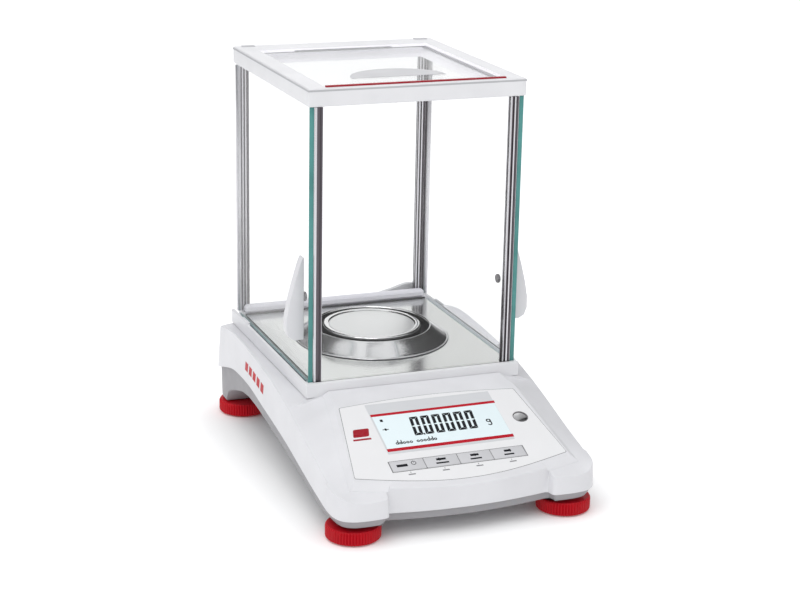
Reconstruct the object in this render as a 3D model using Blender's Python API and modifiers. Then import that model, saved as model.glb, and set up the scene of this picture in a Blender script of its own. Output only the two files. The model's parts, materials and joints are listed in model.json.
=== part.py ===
"""Analytical balance with a glass draft shield, sliding doors and levelling feet.

Run it with  blender --background --python part.py  or from the Text editor.
Every length below is in millimetres and is turned into metres when it is built.
+Z is up, the balance faces -Y, and the origin is on the table under its middle.
"""

import math

import bmesh
import bpy
from mathutils import Matrix, Vector

MM = 0.001
GAP = 0.3                       # clearance between pieces that touch

# Overall size
WIDTH = 209.0
DEPTH = 321.0
HEIGHT = 309.0
HALF_WIDTH = WIDTH / 2
REAR = DEPTH / 2
FRONT = -DEPTH / 2

# Housing: a white shell over a grey chassis
WALL = 2.5
CREASE_X = 101.5                # half width at the crease along each shoulder
CHASSIS_INSET = 3.5
CHASSIS_FLOOR = 3.0
CHASSIS_LIP = 6.0               # how far the chassis wall reaches into the shell
DECK_TOP = 72.4                 # top of the shell under the draft shield
CELL_HOLE = 16.0                # radius of the hole under the pan

# Heights along the side, front to back: y, crease, lower edge of the white band
SIDE_LINES = [
    (-162.0, 37.5, 21.0),
    (-150.0, 39.0, 21.0),
    (-130.0, 43.0, 23.4),
    (-100.0, 50.2, 28.2),
    (-70.0, 58.5, 34.0),
    (-40.0, 66.2, 39.6),
    (-10.0, 72.2, 43.9),
    (20.0, 76.3, 47.7),
    (50.0, 78.8, 51.7),
    (75.0, 80.2, 52.6),
    (100.0, 81.0, 51.3),
    (120.0, 79.8, 46.6),
    (145.0, 74.8, 39.3),
    (162.0, 70.0, 35.0),
]
# Underside of the chassis, front to back: y, z
BELLY = [
    (-162.0, 13.8),
    (-121.0, 13.8),
    (-78.0, 20.5),
    (-38.0, 26.5),
    (0.0, 31.5),
    (47.0, 36.9),
    (68.0, 37.8),
    (88.0, 35.6),
    (106.0, 30.6),
    (122.0, 25.0),
    (129.0, 20.5),
    (132.5, 12.2),
    (162.0, 12.2),
]

# Control panel, on a slope that faces the user
PANEL_Y = -87.5
PANEL_Z = 65.2
PANEL_SLOPE = 0.38
PANEL_TILT = math.atan(PANEL_SLOPE)
BEZEL_THICK = 3.0
BEZEL_TOP_Y = -65.0             # where the slope eases towards the draft shield
BEZEL_REAR = (-41.8, 77.3)
BEZEL_FRONT_Y = -158.0
BEZEL_HALF_REAR = 75.0
BEZEL_HALF_FRONT = 90.5
BEZEL_CORNER_Y = -146.3
OVERLAY_THICK = 0.6
OVERLAY_SEAT = OVERLAY_THICK + GAP
LCD_SIZE = (99.4, 36.8)
LCD_V = -11.0                   # middle of the display, along the slope
KEY_COUNT = 4
KEY_PITCH = 26.6
KEY_SIZE = (26.1, 10.5, 1.6)
KEY_V = -48.2
KEY_X = -0.8                    # middle of the row of keys
LEVEL_X = 64.0
LEVEL_V = -11.4
LEVEL_RADIUS = 6.0

# Draft shield
TRAY_HALF = 88.0
TRAY_FRONT = -41.3
TRAY_LOW = DECK_TOP + GAP
TRAY_TOP = 84.3
TRAY_FLOOR = 83.0
GLASS_IN = 81.7
GLASS_OUT = 85.2
SLOT_IN = GLASS_IN - GAP
SLOT_OUT = GLASS_OUT + GAP
DOOR_FRONT = -37.1
DOOR_REAR = 147.5
DOOR_LOW = 80.3
DOOR_TOP = 299.4
POST_IN = 75.0
POST_OUT = 81.1
POST_DEPTH = 6.0
POST_FRONT = -38.0
POST_REAR = 149.0
FRAME_HALF = 86.6
FRAME_FRONT = -38.7
FRAME_REAR = 155.0
FRAME_LOW = 295.4
FRAME_TOP = HEIGHT
TOP_GLASS = (303.8, 306.4)      # lower and upper face of the top door
TOP_OPEN_HALF = 72.0
TOP_OPEN_FRONT = -35.0
TOP_OPEN_REAR = 130.0

# Handle of a side door
HANDLE_Y = (-27.5, -19.5)
HANDLE_OUTLINE = [
    (0.0, 115.5), (7.0, 115.2), (12.0, 118.0), (14.2, 124.0), (14.0, 133.0),
    (11.6, 146.0), (8.0, 160.0), (4.2, 173.0), (1.6, 180.0), (0.0, 180.0),
]

# Weighing pan and wind ring
PAN_Y = 55.5
PAN_RADIUS = 40.0
RING_TOP = (47.0, 94.8)
RING_BASE = (61.0, 85.2)

# Inside the housing: the built-in calibration weight, its cam, the hook cover and the ports
WEIGHT_Y = 76.0
WEIGHT_Z = 54.3
WEIGHT_RADIUS = 8.0
CAM_AXIS_Z = 48.7
CAM_THROW = 1.5
HOOK_PIVOT_Y = 73.0
HOOK_HOLE = 9.0
# Ports in the rear wall: name, x, half width, lowest and highest z
PORTS = [
    ("power_inlet", -58.0, 6.0, 47.0, 58.0),
    ("serial_port", -20.0, 15.5, 46.5, 58.5),
    ("usb_port", 18.0, 6.0, 47.0, 58.0),
]

# Levelling feet
FOOT_X = 83.8
FOOT_Y = (-136.7, 139.5)
FOOT_RADIUS = 20.5
FOOT_TOP = 11.2
STUD_RADIUS = 4.0

# ------------------------------------------------------------------ scene set-up

for old in list(bpy.data.objects):
    bpy.data.objects.remove(old, do_unlink=True)

PARTS = bpy.data.collections.new("analytical_balance")
CUTTERS = bpy.data.collections.new("cutters")
bpy.context.scene.collection.children.link(PARTS)
bpy.context.scene.collection.children.link(CUTTERS)


def material(name, colour, roughness, metallic=0.0, transmission=0.0):
    """A Principled material."""
    made = bpy.data.materials.new(name)
    made.use_nodes = True
    shader = made.node_tree.nodes["Principled BSDF"]
    shader.inputs["Base Color"].default_value = (*colour, 1.0)
    shader.inputs["Roughness"].default_value = roughness
    shader.inputs["Metallic"].default_value = metallic
    shader.inputs["Transmission Weight"].default_value = transmission
    return made


WHITE = material("white_plastic", (0.80, 0.80, 0.83), 0.35)
GREY = material("grey_plastic", (0.40, 0.40, 0.42), 0.45)
LIGHT_GREY = material("light_grey_plastic", (0.62, 0.62, 0.64), 0.4)
DARK = material("dark_plastic", (0.05, 0.05, 0.055), 0.5)
RED = material("red_plastic", (0.62, 0.01, 0.03), 0.4)
STEEL = material("stainless_steel", (0.62, 0.63, 0.62), 0.22, 1.0)
ALUMINIUM = material("aluminium", (0.66, 0.66, 0.68), 0.3, 1.0)
BRASS = material("brass", (0.7, 0.5, 0.2), 0.3, 1.0)
CLEAR = material("clear_glass", (0.95, 0.98, 0.97), 0.02, 0.0, 1.0)
SCREEN = material("screen", (0.78, 0.88, 0.92), 0.1)
BOARD = material("circuit_board", (0.02, 0.18, 0.08), 0.5)
RUBBER = material("black_rubber", (0.03, 0.03, 0.03), 0.85)


# ------------------------------------------------------------------ modelling tools

def add(mesh, name, look=None, cutter=False):
    """Put a mesh in the scene, as a part or as a hidden cutter."""
    thing = bpy.data.objects.new(name, mesh)
    (CUTTERS if cutter else PARTS).objects.link(thing)
    if look:
        mesh.materials.clear()
        mesh.materials.append(look)
    if cutter:
        thing.hide_render = True
        thing.display_type = "WIRE"
    return thing


def box(name, low, high, look=None, bevel=0.0):
    """A block between two corners."""
    bpy.ops.mesh.primitive_cube_add(size=1.0)
    cube = bpy.context.object
    mesh = cube.data
    bpy.data.objects.remove(cube)
    size = [(b - a) * MM for a, b in zip(low, high)]
    mesh.transform(Matrix.Diagonal((*size, 1.0)))
    thing = add(mesh, name, look, look is None)
    thing.location = [(a + b) / 2 * MM for a, b in zip(low, high)]
    if bevel:
        soften(thing, bevel)
    return thing


def rod(name, radius, low, high, centre=(0.0, 0.0), look=None, axis="Z", sides=24):
    """A cylinder from low to high along an axis; centre holds the other two places."""
    bpy.ops.mesh.primitive_cylinder_add(vertices=sides, radius=radius * MM, depth=(high - low) * MM)
    cylinder = bpy.context.object
    mesh = cylinder.data
    bpy.data.objects.remove(cylinder)
    thing = add(mesh, name, look, look is None)
    middle = (low + high) / 2
    if axis == "Z":
        thing.location = Vector((centre[0], centre[1], middle)) * MM
    elif axis == "Y":
        thing.rotation_euler = (math.pi / 2, 0.0, 0.0)
        thing.location = Vector((centre[0], middle, centre[1])) * MM
    else:
        thing.rotation_euler = (0.0, math.pi / 2, 0.0)
        thing.location = Vector((middle, centre[0], centre[1])) * MM
    if look:
        mesh.shade_smooth()
        mesh.set_sharp_from_angle(angle=math.radians(35))
    return thing


def plate(name, outline, low, high, look=None, normal="Z", origin=(0.0, 0.0)):
    """A flat outline made thick: drawn in XY, or in YZ for normal X, or in XZ for normal Y."""
    curve = bpy.data.curves.new(name + "_outline", "CURVE")
    curve.dimensions = "2D"
    curve.fill_mode = "BOTH"
    curve.extrude = (high - low) / 2 * MM
    spline = curve.splines.new("POLY")
    spline.points.add(len(outline) - 1)
    for point, (u, v) in zip(spline.points, outline):
        point.co = (u * MM, v * MM, 0.0, 1.0)
    spline.use_cyclic_u = True
    drawn = bpy.data.objects.new(name + "_outline", curve)
    CUTTERS.objects.link(drawn)
    scene_now = bpy.context.evaluated_depsgraph_get()
    mesh = bpy.data.meshes.new_from_object(drawn.evaluated_get(scene_now))
    bpy.data.objects.remove(drawn)
    edit = bmesh.new()
    edit.from_mesh(mesh)
    bmesh.ops.remove_doubles(edit, verts=edit.verts, dist=1e-6)
    bmesh.ops.recalc_face_normals(edit, faces=edit.faces)
    edit.to_mesh(mesh)
    edit.free()
    thing = add(mesh, name, look, look is None)
    middle = (low + high) / 2 * MM
    across, along = origin[0] * MM, origin[1] * MM
    if normal == "Z":
        thing.location = (across, along, middle)
    elif normal == "X":
        thing.rotation_euler = (math.pi / 2, 0.0, math.pi / 2)
        thing.location = (middle, across, along)
    else:
        thing.rotation_euler = (math.pi / 2, 0.0, 0.0)
        thing.location = (across, middle, along)
    return thing


def turned(name, profile, centre, look, steps=48):
    """A closed profile of (radius, z), listed down its outer side, turned about Z."""
    edit = bmesh.new()
    ring = [edit.verts.new((r * MM, 0.0, z * MM)) for r, z in profile]
    for a, b in zip(ring, ring[1:]):
        edit.edges.new((a, b))
    if profile[0][0] > 0.0:
        edit.edges.new((ring[-1], ring[0]))
    mesh = bpy.data.meshes.new(name)
    edit.to_mesh(mesh)
    edit.free()
    thing = add(mesh, name, look)
    thing.location = (centre[0] * MM, centre[1] * MM, 0.0)
    screw = thing.modifiers.new("turn", "SCREW")
    screw.steps = steps
    screw.render_steps = steps
    screw.use_merge_vertices = True
    screw.merge_threshold = 1e-6
    screw.use_smooth_shade = True
    return thing


def loft(name, sections):
    """A solid through cross-sections: each is (y, [(x, z), ...]) with the same point count."""
    edit = bmesh.new()
    rings = [[edit.verts.new((x * MM, y * MM, z * MM)) for x, z in points] for y, points in sections]
    for here, there in zip(rings, rings[1:]):
        for k in range(len(here)):
            after = (k + 1) % len(here)
            edit.faces.new((here[k], here[after], there[after], there[k]))
    edit.faces.new(rings[0])
    edit.faces.new(rings[-1])
    bmesh.ops.recalc_face_normals(edit, faces=edit.faces)
    mesh = bpy.data.meshes.new(name)
    edit.to_mesh(mesh)
    edit.free()
    return mesh


def combine(thing, other, operation):
    """Add one Boolean modifier."""
    modifier = thing.modifiers.new(operation.lower(), "BOOLEAN")
    modifier.operation = operation
    modifier.solver = "EXACT"
    modifier.object = other


def cut(thing, *others):
    for other in others:
        combine(thing, other, "DIFFERENCE")


def join(thing, *others):
    for other in others:
        combine(thing, other, "UNION")


def keep_inside(thing, *others):
    for other in others:
        combine(thing, other, "INTERSECT")


def soften(thing, width, segments=2):
    """Round the sharp edges of a piece."""
    bevel = thing.modifiers.new("soften", "BEVEL")
    bevel.width = width * MM
    bevel.segments = segments
    bevel.limit_method = "ANGLE"
    bevel.angle_limit = math.radians(40)
    bevel.use_clamp_overlap = True


def at(table, y, column):
    """Read a column of a table by straight lines between its rows."""
    for before, after in zip(table, table[1:]):
        if y <= after[0]:
            share = (y - before[0]) / (after[0] - before[0])
            return before[column] + share * (after[column] - before[column])
    return table[-1][column]


def inset(outline, distance):
    """Move a closed outline inwards; the outline runs anticlockwise."""
    moved = []
    count = len(outline)
    for k in range(count):
        before = Vector(outline[k - 1])
        here = Vector(outline[k])
        after = Vector(outline[(k + 1) % count])
        first = (here - before).normalized()
        second = (after - here).normalized()
        inward = (Vector((-first.y, first.x)) + Vector((-second.y, second.x))).normalized()
        reach = distance / max(0.5, inward.dot(Vector((-first.y, first.x))))
        moved.append(tuple(here + inward * reach))
    return moved


def mirrored(right_half):
    """A whole outline from its right half, which runs from the front to the back."""
    left_half = [(-x, y) for x, y in reversed(right_half) if x > 0.0]
    return right_half + left_half


# ------------------------------------------------------------------ housing

def housing_plan(side):
    """Outline of the housing from above: two ears stand forward of the apron."""
    right_half = [
        (0.0, FRONT + 4.5), (36.0, FRONT + 5.2), (62.0, FRONT + 7.5),
        (66.5, FRONT + 1.6), (80.0, FRONT), (92.0, FRONT + 1.8), (99.5, FRONT + 7.0),
        (103.2, FRONT + 15.0), (side, FRONT + 27.0),
        (side, REAR - 20.0), (102.2, REAR - 8.0), (96.5, REAR - 2.2), (88.0, REAR), (0.0, REAR),
    ]
    return mirrored(right_half)


def bezel_top(y):
    """Height of the sloping top around the control panel."""
    if y <= BEZEL_TOP_Y:
        return PANEL_Z + PANEL_SLOPE * (y - PANEL_Y)
    ridge = PANEL_Z + PANEL_SLOPE * (BEZEL_TOP_Y - PANEL_Y)
    share = (y - BEZEL_TOP_Y) / (BEZEL_REAR[0] - BEZEL_TOP_Y)
    return ridge + share * (BEZEL_REAR[1] - ridge)


def bezel_half(y):
    """Half width of the bezel at a depth."""
    share = (y - BEZEL_REAR[0]) / (BEZEL_CORNER_Y - BEZEL_REAR[0])
    return BEZEL_HALF_REAR + min(1.0, share) * (BEZEL_HALF_FRONT - BEZEL_HALF_REAR)


def shell_section(y, inside):
    """Cross-section of the white shell, or of the hollow inside it."""
    crease = at(SIDE_LINES, y, 1)
    edge = at(SIDE_LINES, y, 2)
    if y > TRAY_FRONT - GAP:
        deck = DECK_TOP
        shoulder = TRAY_HALF
    else:
        deck = bezel_top(y) - BEZEL_THICK - GAP
        shoulder = bezel_half(y)
    if inside:
        half = [
            (shoulder, deck - WALL), (CREASE_X - WALL, crease - WALL - 1.0),
            (HALF_WIDTH - WALL - 0.9, crease - WALL - 3.0), (HALF_WIDTH - WALL, edge - 8.0),
        ]
    else:
        half = [
            (shoulder, deck), (CREASE_X, crease),
            (HALF_WIDTH - 1.1, crease - 1.3), (HALF_WIDTH, edge),
        ]
    return half + [(-x, z) for x, z in reversed(half)]


def shell_stations():
    """Depths of the cross-sections: the table's rows and the ends of the bezel."""
    rows = [row[0] for row in SIDE_LINES]
    extra = [BEZEL_CORNER_Y, BEZEL_TOP_Y, TRAY_FRONT - GAP - 0.3, TRAY_FRONT - GAP + 0.1, 133.0]
    return sorted(rows + extra)


def make_upper_housing():
    stations = shell_stations()
    outer = loft("upper_housing", [(y, shell_section(y, False)) for y in stations])
    shell = add(outer, "upper_housing", WHITE)
    keep_inside(shell, plate("housing_outline", housing_plan(HALF_WIDTH + 2.0), 0.0, 120.0))
    hollow_mesh = loft("hollow", [(y, shell_section(y, True)) for y in stations])
    hollow = add(hollow_mesh, "housing_hollow", cutter=True)
    inner_plan = inset(housing_plan(HALF_WIDTH + 2.0), WALL)
    keep_inside(hollow, plate("hollow_outline", inner_plan, -5.0, 120.0))
    cut(shell, hollow)
    cut(shell, rod("cell_hole_housing", CELL_HOLE, 60.0, 80.0, (0.0, PAN_Y)))
    window = box("display_opening", (-78.0, -57.5, -20.0), (72.5, 16.0, 6.0))
    window.parent = PANEL_FRAME
    cut(shell, window)
    for name, x, half_width, low, high in PORTS:
        opening = box(name + "_opening", (x - half_width - GAP, REAR - 8.0, low - GAP),
                      (x + half_width + GAP, REAR + 4.0, high + GAP))
        cut(shell, opening)


def make_lower_chassis():
    side_profile = [(y, z) for y, z in BELLY]
    wall_top = [(row[0], row[2] + CHASSIS_LIP) for row in reversed(SIDE_LINES)]
    body = plate("lower_chassis", side_profile + wall_top, -110.0, 110.0, GREY, "X")
    plan = inset(housing_plan(HALF_WIDTH), CHASSIS_INSET)
    keep_inside(body, plate("chassis_outline", plan, 0.0, 110.0))
    floor_line = [(y, z + CHASSIS_FLOOR) for y, z in BELLY]
    hollow = plate("chassis_hollow", floor_line + [(162.0, 120.0), (-162.0, 120.0)], -110.0, 110.0, None, "X")
    keep_inside(hollow, plate("chassis_hollow_outline", inset(plan, WALL), 0.0, 130.0))
    cut(body, hollow)
    for side, y in foot_places():
        low = at(BELLY, y, 1)
        boss = rod(f"stud_boss_{side}_{y:.0f}", 8.0, low + 1.0, low + 10.0, (side * FOOT_X, y))
        join(body, boss)
        hole = rod(f"stud_hole_{side}_{y:.0f}", STUD_RADIUS + GAP, low - 3.0, low + 14.0, (side * FOOT_X, y))
        cut(body, hole)
    cut(body, rod("hook_hole", HOOK_HOLE, 30.0, 50.0, (0.0, PAN_Y)))
    cut(body, rod("pivot_hole", 1.8, 30.0, 50.0, (0.0, HOOK_PIVOT_Y), sides=12))


# ------------------------------------------------------------------ control panel

def front_arc(half_width, side_v, middle_v, points=5):
    """Front edge of a panel piece, bowed towards the user, from the middle to the right."""
    arc = []
    for k in range(points + 1):
        share = k / points
        bow = math.cos(share * math.pi / 2)
        arc.append((share * half_width, side_v + (middle_v - side_v) * bow))
    return arc


def overlay_outline(grow=0.0):
    """Outline of the printed overlay on the slope: x and distance up the slope."""
    front = front_arc(83.7 + grow, -54.9 - grow, -68.5 - grow)
    back = [(x, v) for x, v in reversed(front_arc(71.0 + grow, 20.9 + grow, 25.1 + grow, 3))]
    return mirrored(front + back)


def bezel_outline():
    """Outline of the bezel from above."""
    front = front_arc(BEZEL_HALF_FRONT, BEZEL_CORNER_Y, BEZEL_FRONT_Y)
    return mirrored(front + [(BEZEL_HALF_REAR, BEZEL_REAR[0]), (0.0, BEZEL_REAR[0])])


def on_slope(thing):
    """Place a piece with the slope of the control panel."""
    thing.parent = PANEL_FRAME
    return thing


def key_centre(index):
    return KEY_X + (index - (KEY_COUNT - 1) / 2) * KEY_PITCH


def key_block(name, index, grow, low, high, look=None):
    x = key_centre(index)
    half_x = KEY_SIZE[0] / 2 + grow
    half_v = KEY_SIZE[1] / 2 + grow
    return on_slope(box(name, (x - half_x, KEY_V - half_v, low), (x + half_x, KEY_V + half_v, high), look))


def key_row_opening(name, low, high):
    half_x = (KEY_PITCH * (KEY_COUNT - 1) + KEY_SIZE[0]) / 2 + GAP
    half_v = KEY_SIZE[1] / 2 + GAP
    return on_slope(box(name, (KEY_X - half_x, KEY_V - half_v, low), (KEY_X + half_x, KEY_V + half_v, high)))


def screen_block(name, grow, low, high, look=None):
    half_x = LCD_SIZE[0] / 2 + grow
    half_v = LCD_SIZE[1] / 2 + grow
    return on_slope(box(name, (-half_x, LCD_V - half_v, low), (half_x, LCD_V + half_v, high), look))


def make_bezel():
    top = [(BEZEL_FRONT_Y - 2.0, bezel_top(BEZEL_FRONT_Y - 2.0)), (BEZEL_TOP_Y, bezel_top(BEZEL_TOP_Y)),
           (BEZEL_REAR[0] + 2.0, bezel_top(BEZEL_REAR[0] + 2.0))]
    bottom = [(y, z - BEZEL_THICK) for y, z in reversed(top)]
    bezel = plate("display_bezel", bottom[::-1] + top[::-1], -120.0, 120.0, WHITE, "X")
    keep_inside(bezel, plate("bezel_outline", bezel_outline(), 0.0, 120.0))
    seat = on_slope(plate("overlay_seat", overlay_outline(GAP), -OVERLAY_SEAT, 8.0))
    cut(bezel, seat)
    cut(bezel, screen_block("screen_opening", -2.5, -8.0, 4.0))
    cut(bezel, key_row_opening("key_opening_bezel", -8.0, 4.0))
    cut(bezel, on_slope(rod("level_opening_bezel", LEVEL_RADIUS + 1.0, -8.0, 4.0, (LEVEL_X, LEVEL_V))))


def make_overlay():
    overlay = on_slope(plate("control_panel", overlay_outline(), -OVERLAY_THICK, 0.0, LIGHT_GREY))
    cut(overlay, screen_block("screen_opening_overlay", GAP, -4.0, 4.0))
    cut(overlay, key_row_opening("key_opening_overlay", -4.0, 4.0))
    cut(overlay, on_slope(rod("level_opening_overlay", LEVEL_RADIUS + GAP, -4.0, 4.0, (LEVEL_X, LEVEL_V))))


def make_display():
    screen_block("display_window", 0.0, -OVERLAY_THICK, 0.0, SCREEN)
    screen_block("display_module", -3.0, -6.0, -OVERLAY_THICK - 0.7, SCREEN)
    on_slope(box("display_board", (-57.0, -56.0, -9.0), (54.0, 12.0, -7.4), BOARD))


def make_keys():
    for index in range(KEY_COUNT):
        key_block(f"key_{index + 1}", index, 0.0, -KEY_SIZE[2], 0.0, LIGHT_GREY)


def make_level():
    cup = on_slope(rod("level_cup", LEVEL_RADIUS + 0.7, -8.0, -OVERLAY_THICK - 0.35,
                       (LEVEL_X, LEVEL_V), DARK))
    cut(cup, on_slope(rod("level_hollow", LEVEL_RADIUS - 0.6, -6.5, 2.0, (LEVEL_X, LEVEL_V))))
    on_slope(rod("level_glass", LEVEL_RADIUS, -OVERLAY_THICK, 0.0, (LEVEL_X, LEVEL_V), CLEAR))


# ------------------------------------------------------------------ draft shield

def make_shield_base():
    tray = box("shield_base", (-TRAY_HALF, TRAY_FRONT, TRAY_LOW), (TRAY_HALF, REAR, TRAY_TOP), WHITE)
    soften(tray, 1.0)
    cut(tray, box("plate_recess", (-SLOT_IN - 0.1, POST_FRONT - 0.4, TRAY_FLOOR), (SLOT_IN + 0.1, 140.6, 90.0)))
    cut(tray, box("tray_underside", (-78.0, -35.0, 60.0), (78.0, 150.0, TRAY_FLOOR - 3.5)))
    for side in (-1, 1):
        across = sorted((side * SLOT_IN, side * SLOT_OUT))
        cut(tray, box(f"door_track_{side}", (across[0], DOOR_FRONT - 0.4, DOOR_LOW - 0.8),
                      (across[1], REAR + 5.0, 90.0)))
    cut(tray, rod("cell_hole_tray", CELL_HOLE, 60.0, 95.0, (0.0, PAN_Y)))
    plate_piece = box("floor_plate", (-POST_OUT, POST_FRONT, TRAY_FLOOR + GAP), (POST_OUT, 140.3, TRAY_TOP), STEEL)
    cut(plate_piece, rod("cell_hole_plate", CELL_HOLE, 75.0, 95.0, (0.0, PAN_Y)))
    for side in (-1, 1):
        across = sorted((side * (POST_IN - 0.4), side * 90.0))
        cut(plate_piece, box(f"post_notch_{side}", (across[0], -50.0, 75.0),
                             (across[1], POST_FRONT + POST_DEPTH + 0.4, 95.0)))
    box("rear_bar", (-80.8, 141.0, TRAY_TOP + GAP), (80.8, 148.6, 91.6), WHITE, 2.0)
    box("rear_ledge", (46.0, 155.6, TRAY_TOP + GAP), (80.8, REAR - 0.4, 93.0), WHITE, 1.6)


def make_posts():
    for side, side_name in ((-1, "left"), (1, "right")):
        for y, low, end_name in ((POST_FRONT, TRAY_FLOOR + GAP, "front"), (POST_REAR, TRAY_TOP + GAP, "rear")):
            across = sorted((side * POST_IN, side * POST_OUT))
            name = f"post_{end_name}_{side_name}"
            post = box(name, (across[0], y, low), (across[1], y + POST_DEPTH, FRAME_LOW - GAP), ALUMINIUM)
            middle = (across[0] + across[1]) / 2
            face = y if end_name == "front" else y + POST_DEPTH
            cut(post, box(name + "_groove", (middle - 0.9, face - 1.2, low - 5.0),
                          (middle + 0.9, face + 1.2, FRAME_LOW + 5.0)))


def make_fixed_glass():
    inner = POST_IN - 0.4
    box("front_glass", (-inner, -36.4, TRAY_TOP + GAP), (inner, -33.4, FRAME_LOW - GAP), CLEAR)
    box("rear_glass", (-inner, 150.5, TRAY_TOP + GAP), (inner, 153.5, FRAME_LOW - GAP), CLEAR)


def make_top_frame():
    frame = box("top_frame", (-FRAME_HALF, FRAME_FRONT, FRAME_LOW), (FRAME_HALF, FRAME_REAR, FRAME_TOP), WHITE)
    soften(frame, 1.2)
    low_glass, high_glass = TOP_GLASS
    cut(frame, box("frame_opening_low", (-73.0, -27.0, 280.0), (73.0, 143.0, low_glass)))
    cut(frame, box("door_groove", (-76.8, -34.0, low_glass - GAP), (76.8, FRAME_REAR + 5.0, high_glass + GAP)))
    cut(frame, box("grip_relief", (-42.0, 120.0, high_glass), (42.0, FRAME_REAR + 5.0, high_glass + 1.2)))
    cut(frame, box("frame_opening_high", (-TOP_OPEN_HALF, TOP_OPEN_FRONT, high_glass),
                   (TOP_OPEN_HALF, TOP_OPEN_REAR, 320.0)))
    for side in (-1, 1):
        across = sorted((side * SLOT_IN, side * SLOT_OUT))
        cut(frame, box(f"door_groove_{side}", (across[0], DOOR_FRONT - 0.3, 280.0),
                       (across[1], FRAME_REAR + 5.0, DOOR_TOP + 0.6)))


def make_side_doors():
    for side, side_name in ((-1, "left"), (1, "right")):
        across = sorted((side * GLASS_IN, side * GLASS_OUT))
        box(f"{side_name}_door_glass", (across[0], DOOR_FRONT, DOOR_LOW), (across[1], DOOR_REAR, DOOR_TOP), CLEAR)
        start = GLASS_OUT + GAP
        outline = [(side * (start + x), z) for x, z in HANDLE_OUTLINE]
        if side < 0:
            outline.reverse()
        handle = plate(f"{side_name}_door_handle", outline, HANDLE_Y[0], HANDLE_Y[1], WHITE, "Y")
        soften(handle, 1.2)
        inner = sorted((side * (GLASS_IN - GAP), side * (GLASS_IN - GAP - 2.4)))
        rod(f"{side_name}_door_cap", 3.6, inner[0], inner[1], (-12.5, 145.0), LIGHT_GREY, "X", 20)


def make_top_door():
    low_glass, high_glass = TOP_GLASS
    box("top_door_glass", (-76.5, -33.7, low_glass), (76.5, 146.0, high_glass), CLEAR)
    box("top_door_trim", (-71.6, -34.6, high_glass + GAP), (71.6, -31.0, FRAME_TOP - 0.2), RED)
    arc = [(38.0 * math.cos(math.pi * k / 16), 4.0 + 32.0 * math.sin(math.pi * k / 16)) for k in range(17)]
    plate("top_door_grip", arc, high_glass + GAP, high_glass + GAP + 0.5, LIGHT_GREY)


# ------------------------------------------------------------------ weighing parts

def make_pan():
    pan = [
        (0.0, 94.8), (33.6, 94.8), (35.0, 95.5), (37.6, 95.4), (39.3, 94.2), (PAN_RADIUS, 92.0),
        (39.6, 88.5), (38.6, 88.5), (38.8, 92.0), (37.6, 93.6), (35.0, 93.9), (0.0, 93.9),
    ]
    turned("weighing_pan", pan, (0.0, PAN_Y), STEEL)
    support = [(0.0, 93.4), (30.0, 93.4), (31.0, 92.0), (8.0, 89.5), (7.0, 88.0), (7.0, 67.3), (0.0, 67.3)]
    turned("pan_support", support, (0.0, PAN_Y), ALUMINIUM, 32)
    top_radius, top = RING_TOP
    base_radius, base = RING_BASE
    ring = [
        (top_radius, top), (top_radius + 0.8, top - 0.2), (base_radius, base + 0.6), (base_radius + 1.4, base),
        (base_radius + 1.4, base - 0.6), (base_radius - 0.6, base - 0.6), (top_radius, top - 1.4),
    ]
    turned("wind_ring", ring, (0.0, PAN_Y), STEEL)


def make_load_cell():
    cell = box("load_cell", (-16.0, 42.0, 45.0), (16.0, 130.0, 67.0), ALUMINIUM)
    for low, high in ((48.0, 54.0), (58.0, 64.0)):
        cut(cell, box(f"flexure_{low:.0f}", (-20.0, 62.0, low), (20.0, 98.0, high)))
    base = box("load_cell_base", (-32.0, 44.0, 41.3), (32.0, 131.0, 44.6), ALUMINIUM)
    cut(base, rod("hook_hole_base", HOOK_HOLE, 35.0, 50.0, (0.0, PAN_Y)))
    for side in (-1, 1):
        join(base, rod(f"base_leg_{side}", 5.0, 31.0, 43.0, (side * 24.0, 121.0)))


def make_calibration():
    weight = rod("calibration_weight", WEIGHT_RADIUS, 35.0, 60.0, (WEIGHT_Y, WEIGHT_Z), STEEL, "X")
    join(weight, rod("weight_pin", 2.5, 58.0, 66.0, (WEIGHT_Y, WEIGHT_Z), None, "X", 16))
    cam = rod("calibration_cam", 1.5, 61.5, 67.4, (WEIGHT_Y, CAM_AXIS_Z), BRASS, "X", 12)
    join(cam, rod("cam_disc", 4.0, 61.0, 65.5, (WEIGHT_Y, CAM_AXIS_Z - CAM_THROW), None, "X"))
    motor = rod("calibration_motor", 6.8, 66.2, 90.0, (WEIGHT_Y, CAM_AXIS_Z), DARK, "X")
    cut(motor, rod("motor_bore", 1.9, 60.0, 70.0, (WEIGHT_Y, CAM_AXIS_Z), None, "X", 12))


def make_electronics():
    box("main_board", (-92.0, 20.0, 46.4), (-36.0, 125.0, 48.0), BOARD)
    for name, x, half_width, low, high in PORTS:
        port = box(name, (x - half_width, REAR - 14.0, low), (x + half_width, REAR - 0.3, high), DARK)
        cut(port, box(name + "_socket", (x - half_width + 1.6, REAR - 8.0, low + 2.4),
                      (x + half_width - 1.6, REAR + 4.0, high - 2.4)))


def make_hook_cover():
    """A cover under the balance that swings aside for weighing below the balance."""
    reach = PAN_Y - HOOK_PIVOT_Y
    outline = []
    for k in range(13):
        angle = math.pi + math.pi * k / 12
        outline.append((12.5 * math.cos(angle), reach + 12.5 * math.sin(angle)))
    for k in range(9):
        angle = math.pi * k / 8
        outline.append((5.0 * math.cos(angle), 5.0 * math.sin(angle)))
    cover = plate("hook_cover", outline, 34.4, 36.2, GREY, origin=(0.0, HOOK_PIVOT_Y))
    cut(cover, rod("cover_pivot_hole", 1.8, 30.0, 40.0, (0.0, HOOK_PIVOT_Y), sides=12))
    screw = rod("hook_cover_screw", 1.5, 33.0, 40.8, (0.0, HOOK_PIVOT_Y), STEEL, sides=12)
    join(screw, rod("cover_screw_head", 3.4, 31.8, 34.1, (0.0, HOOK_PIVOT_Y), sides=16))


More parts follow.
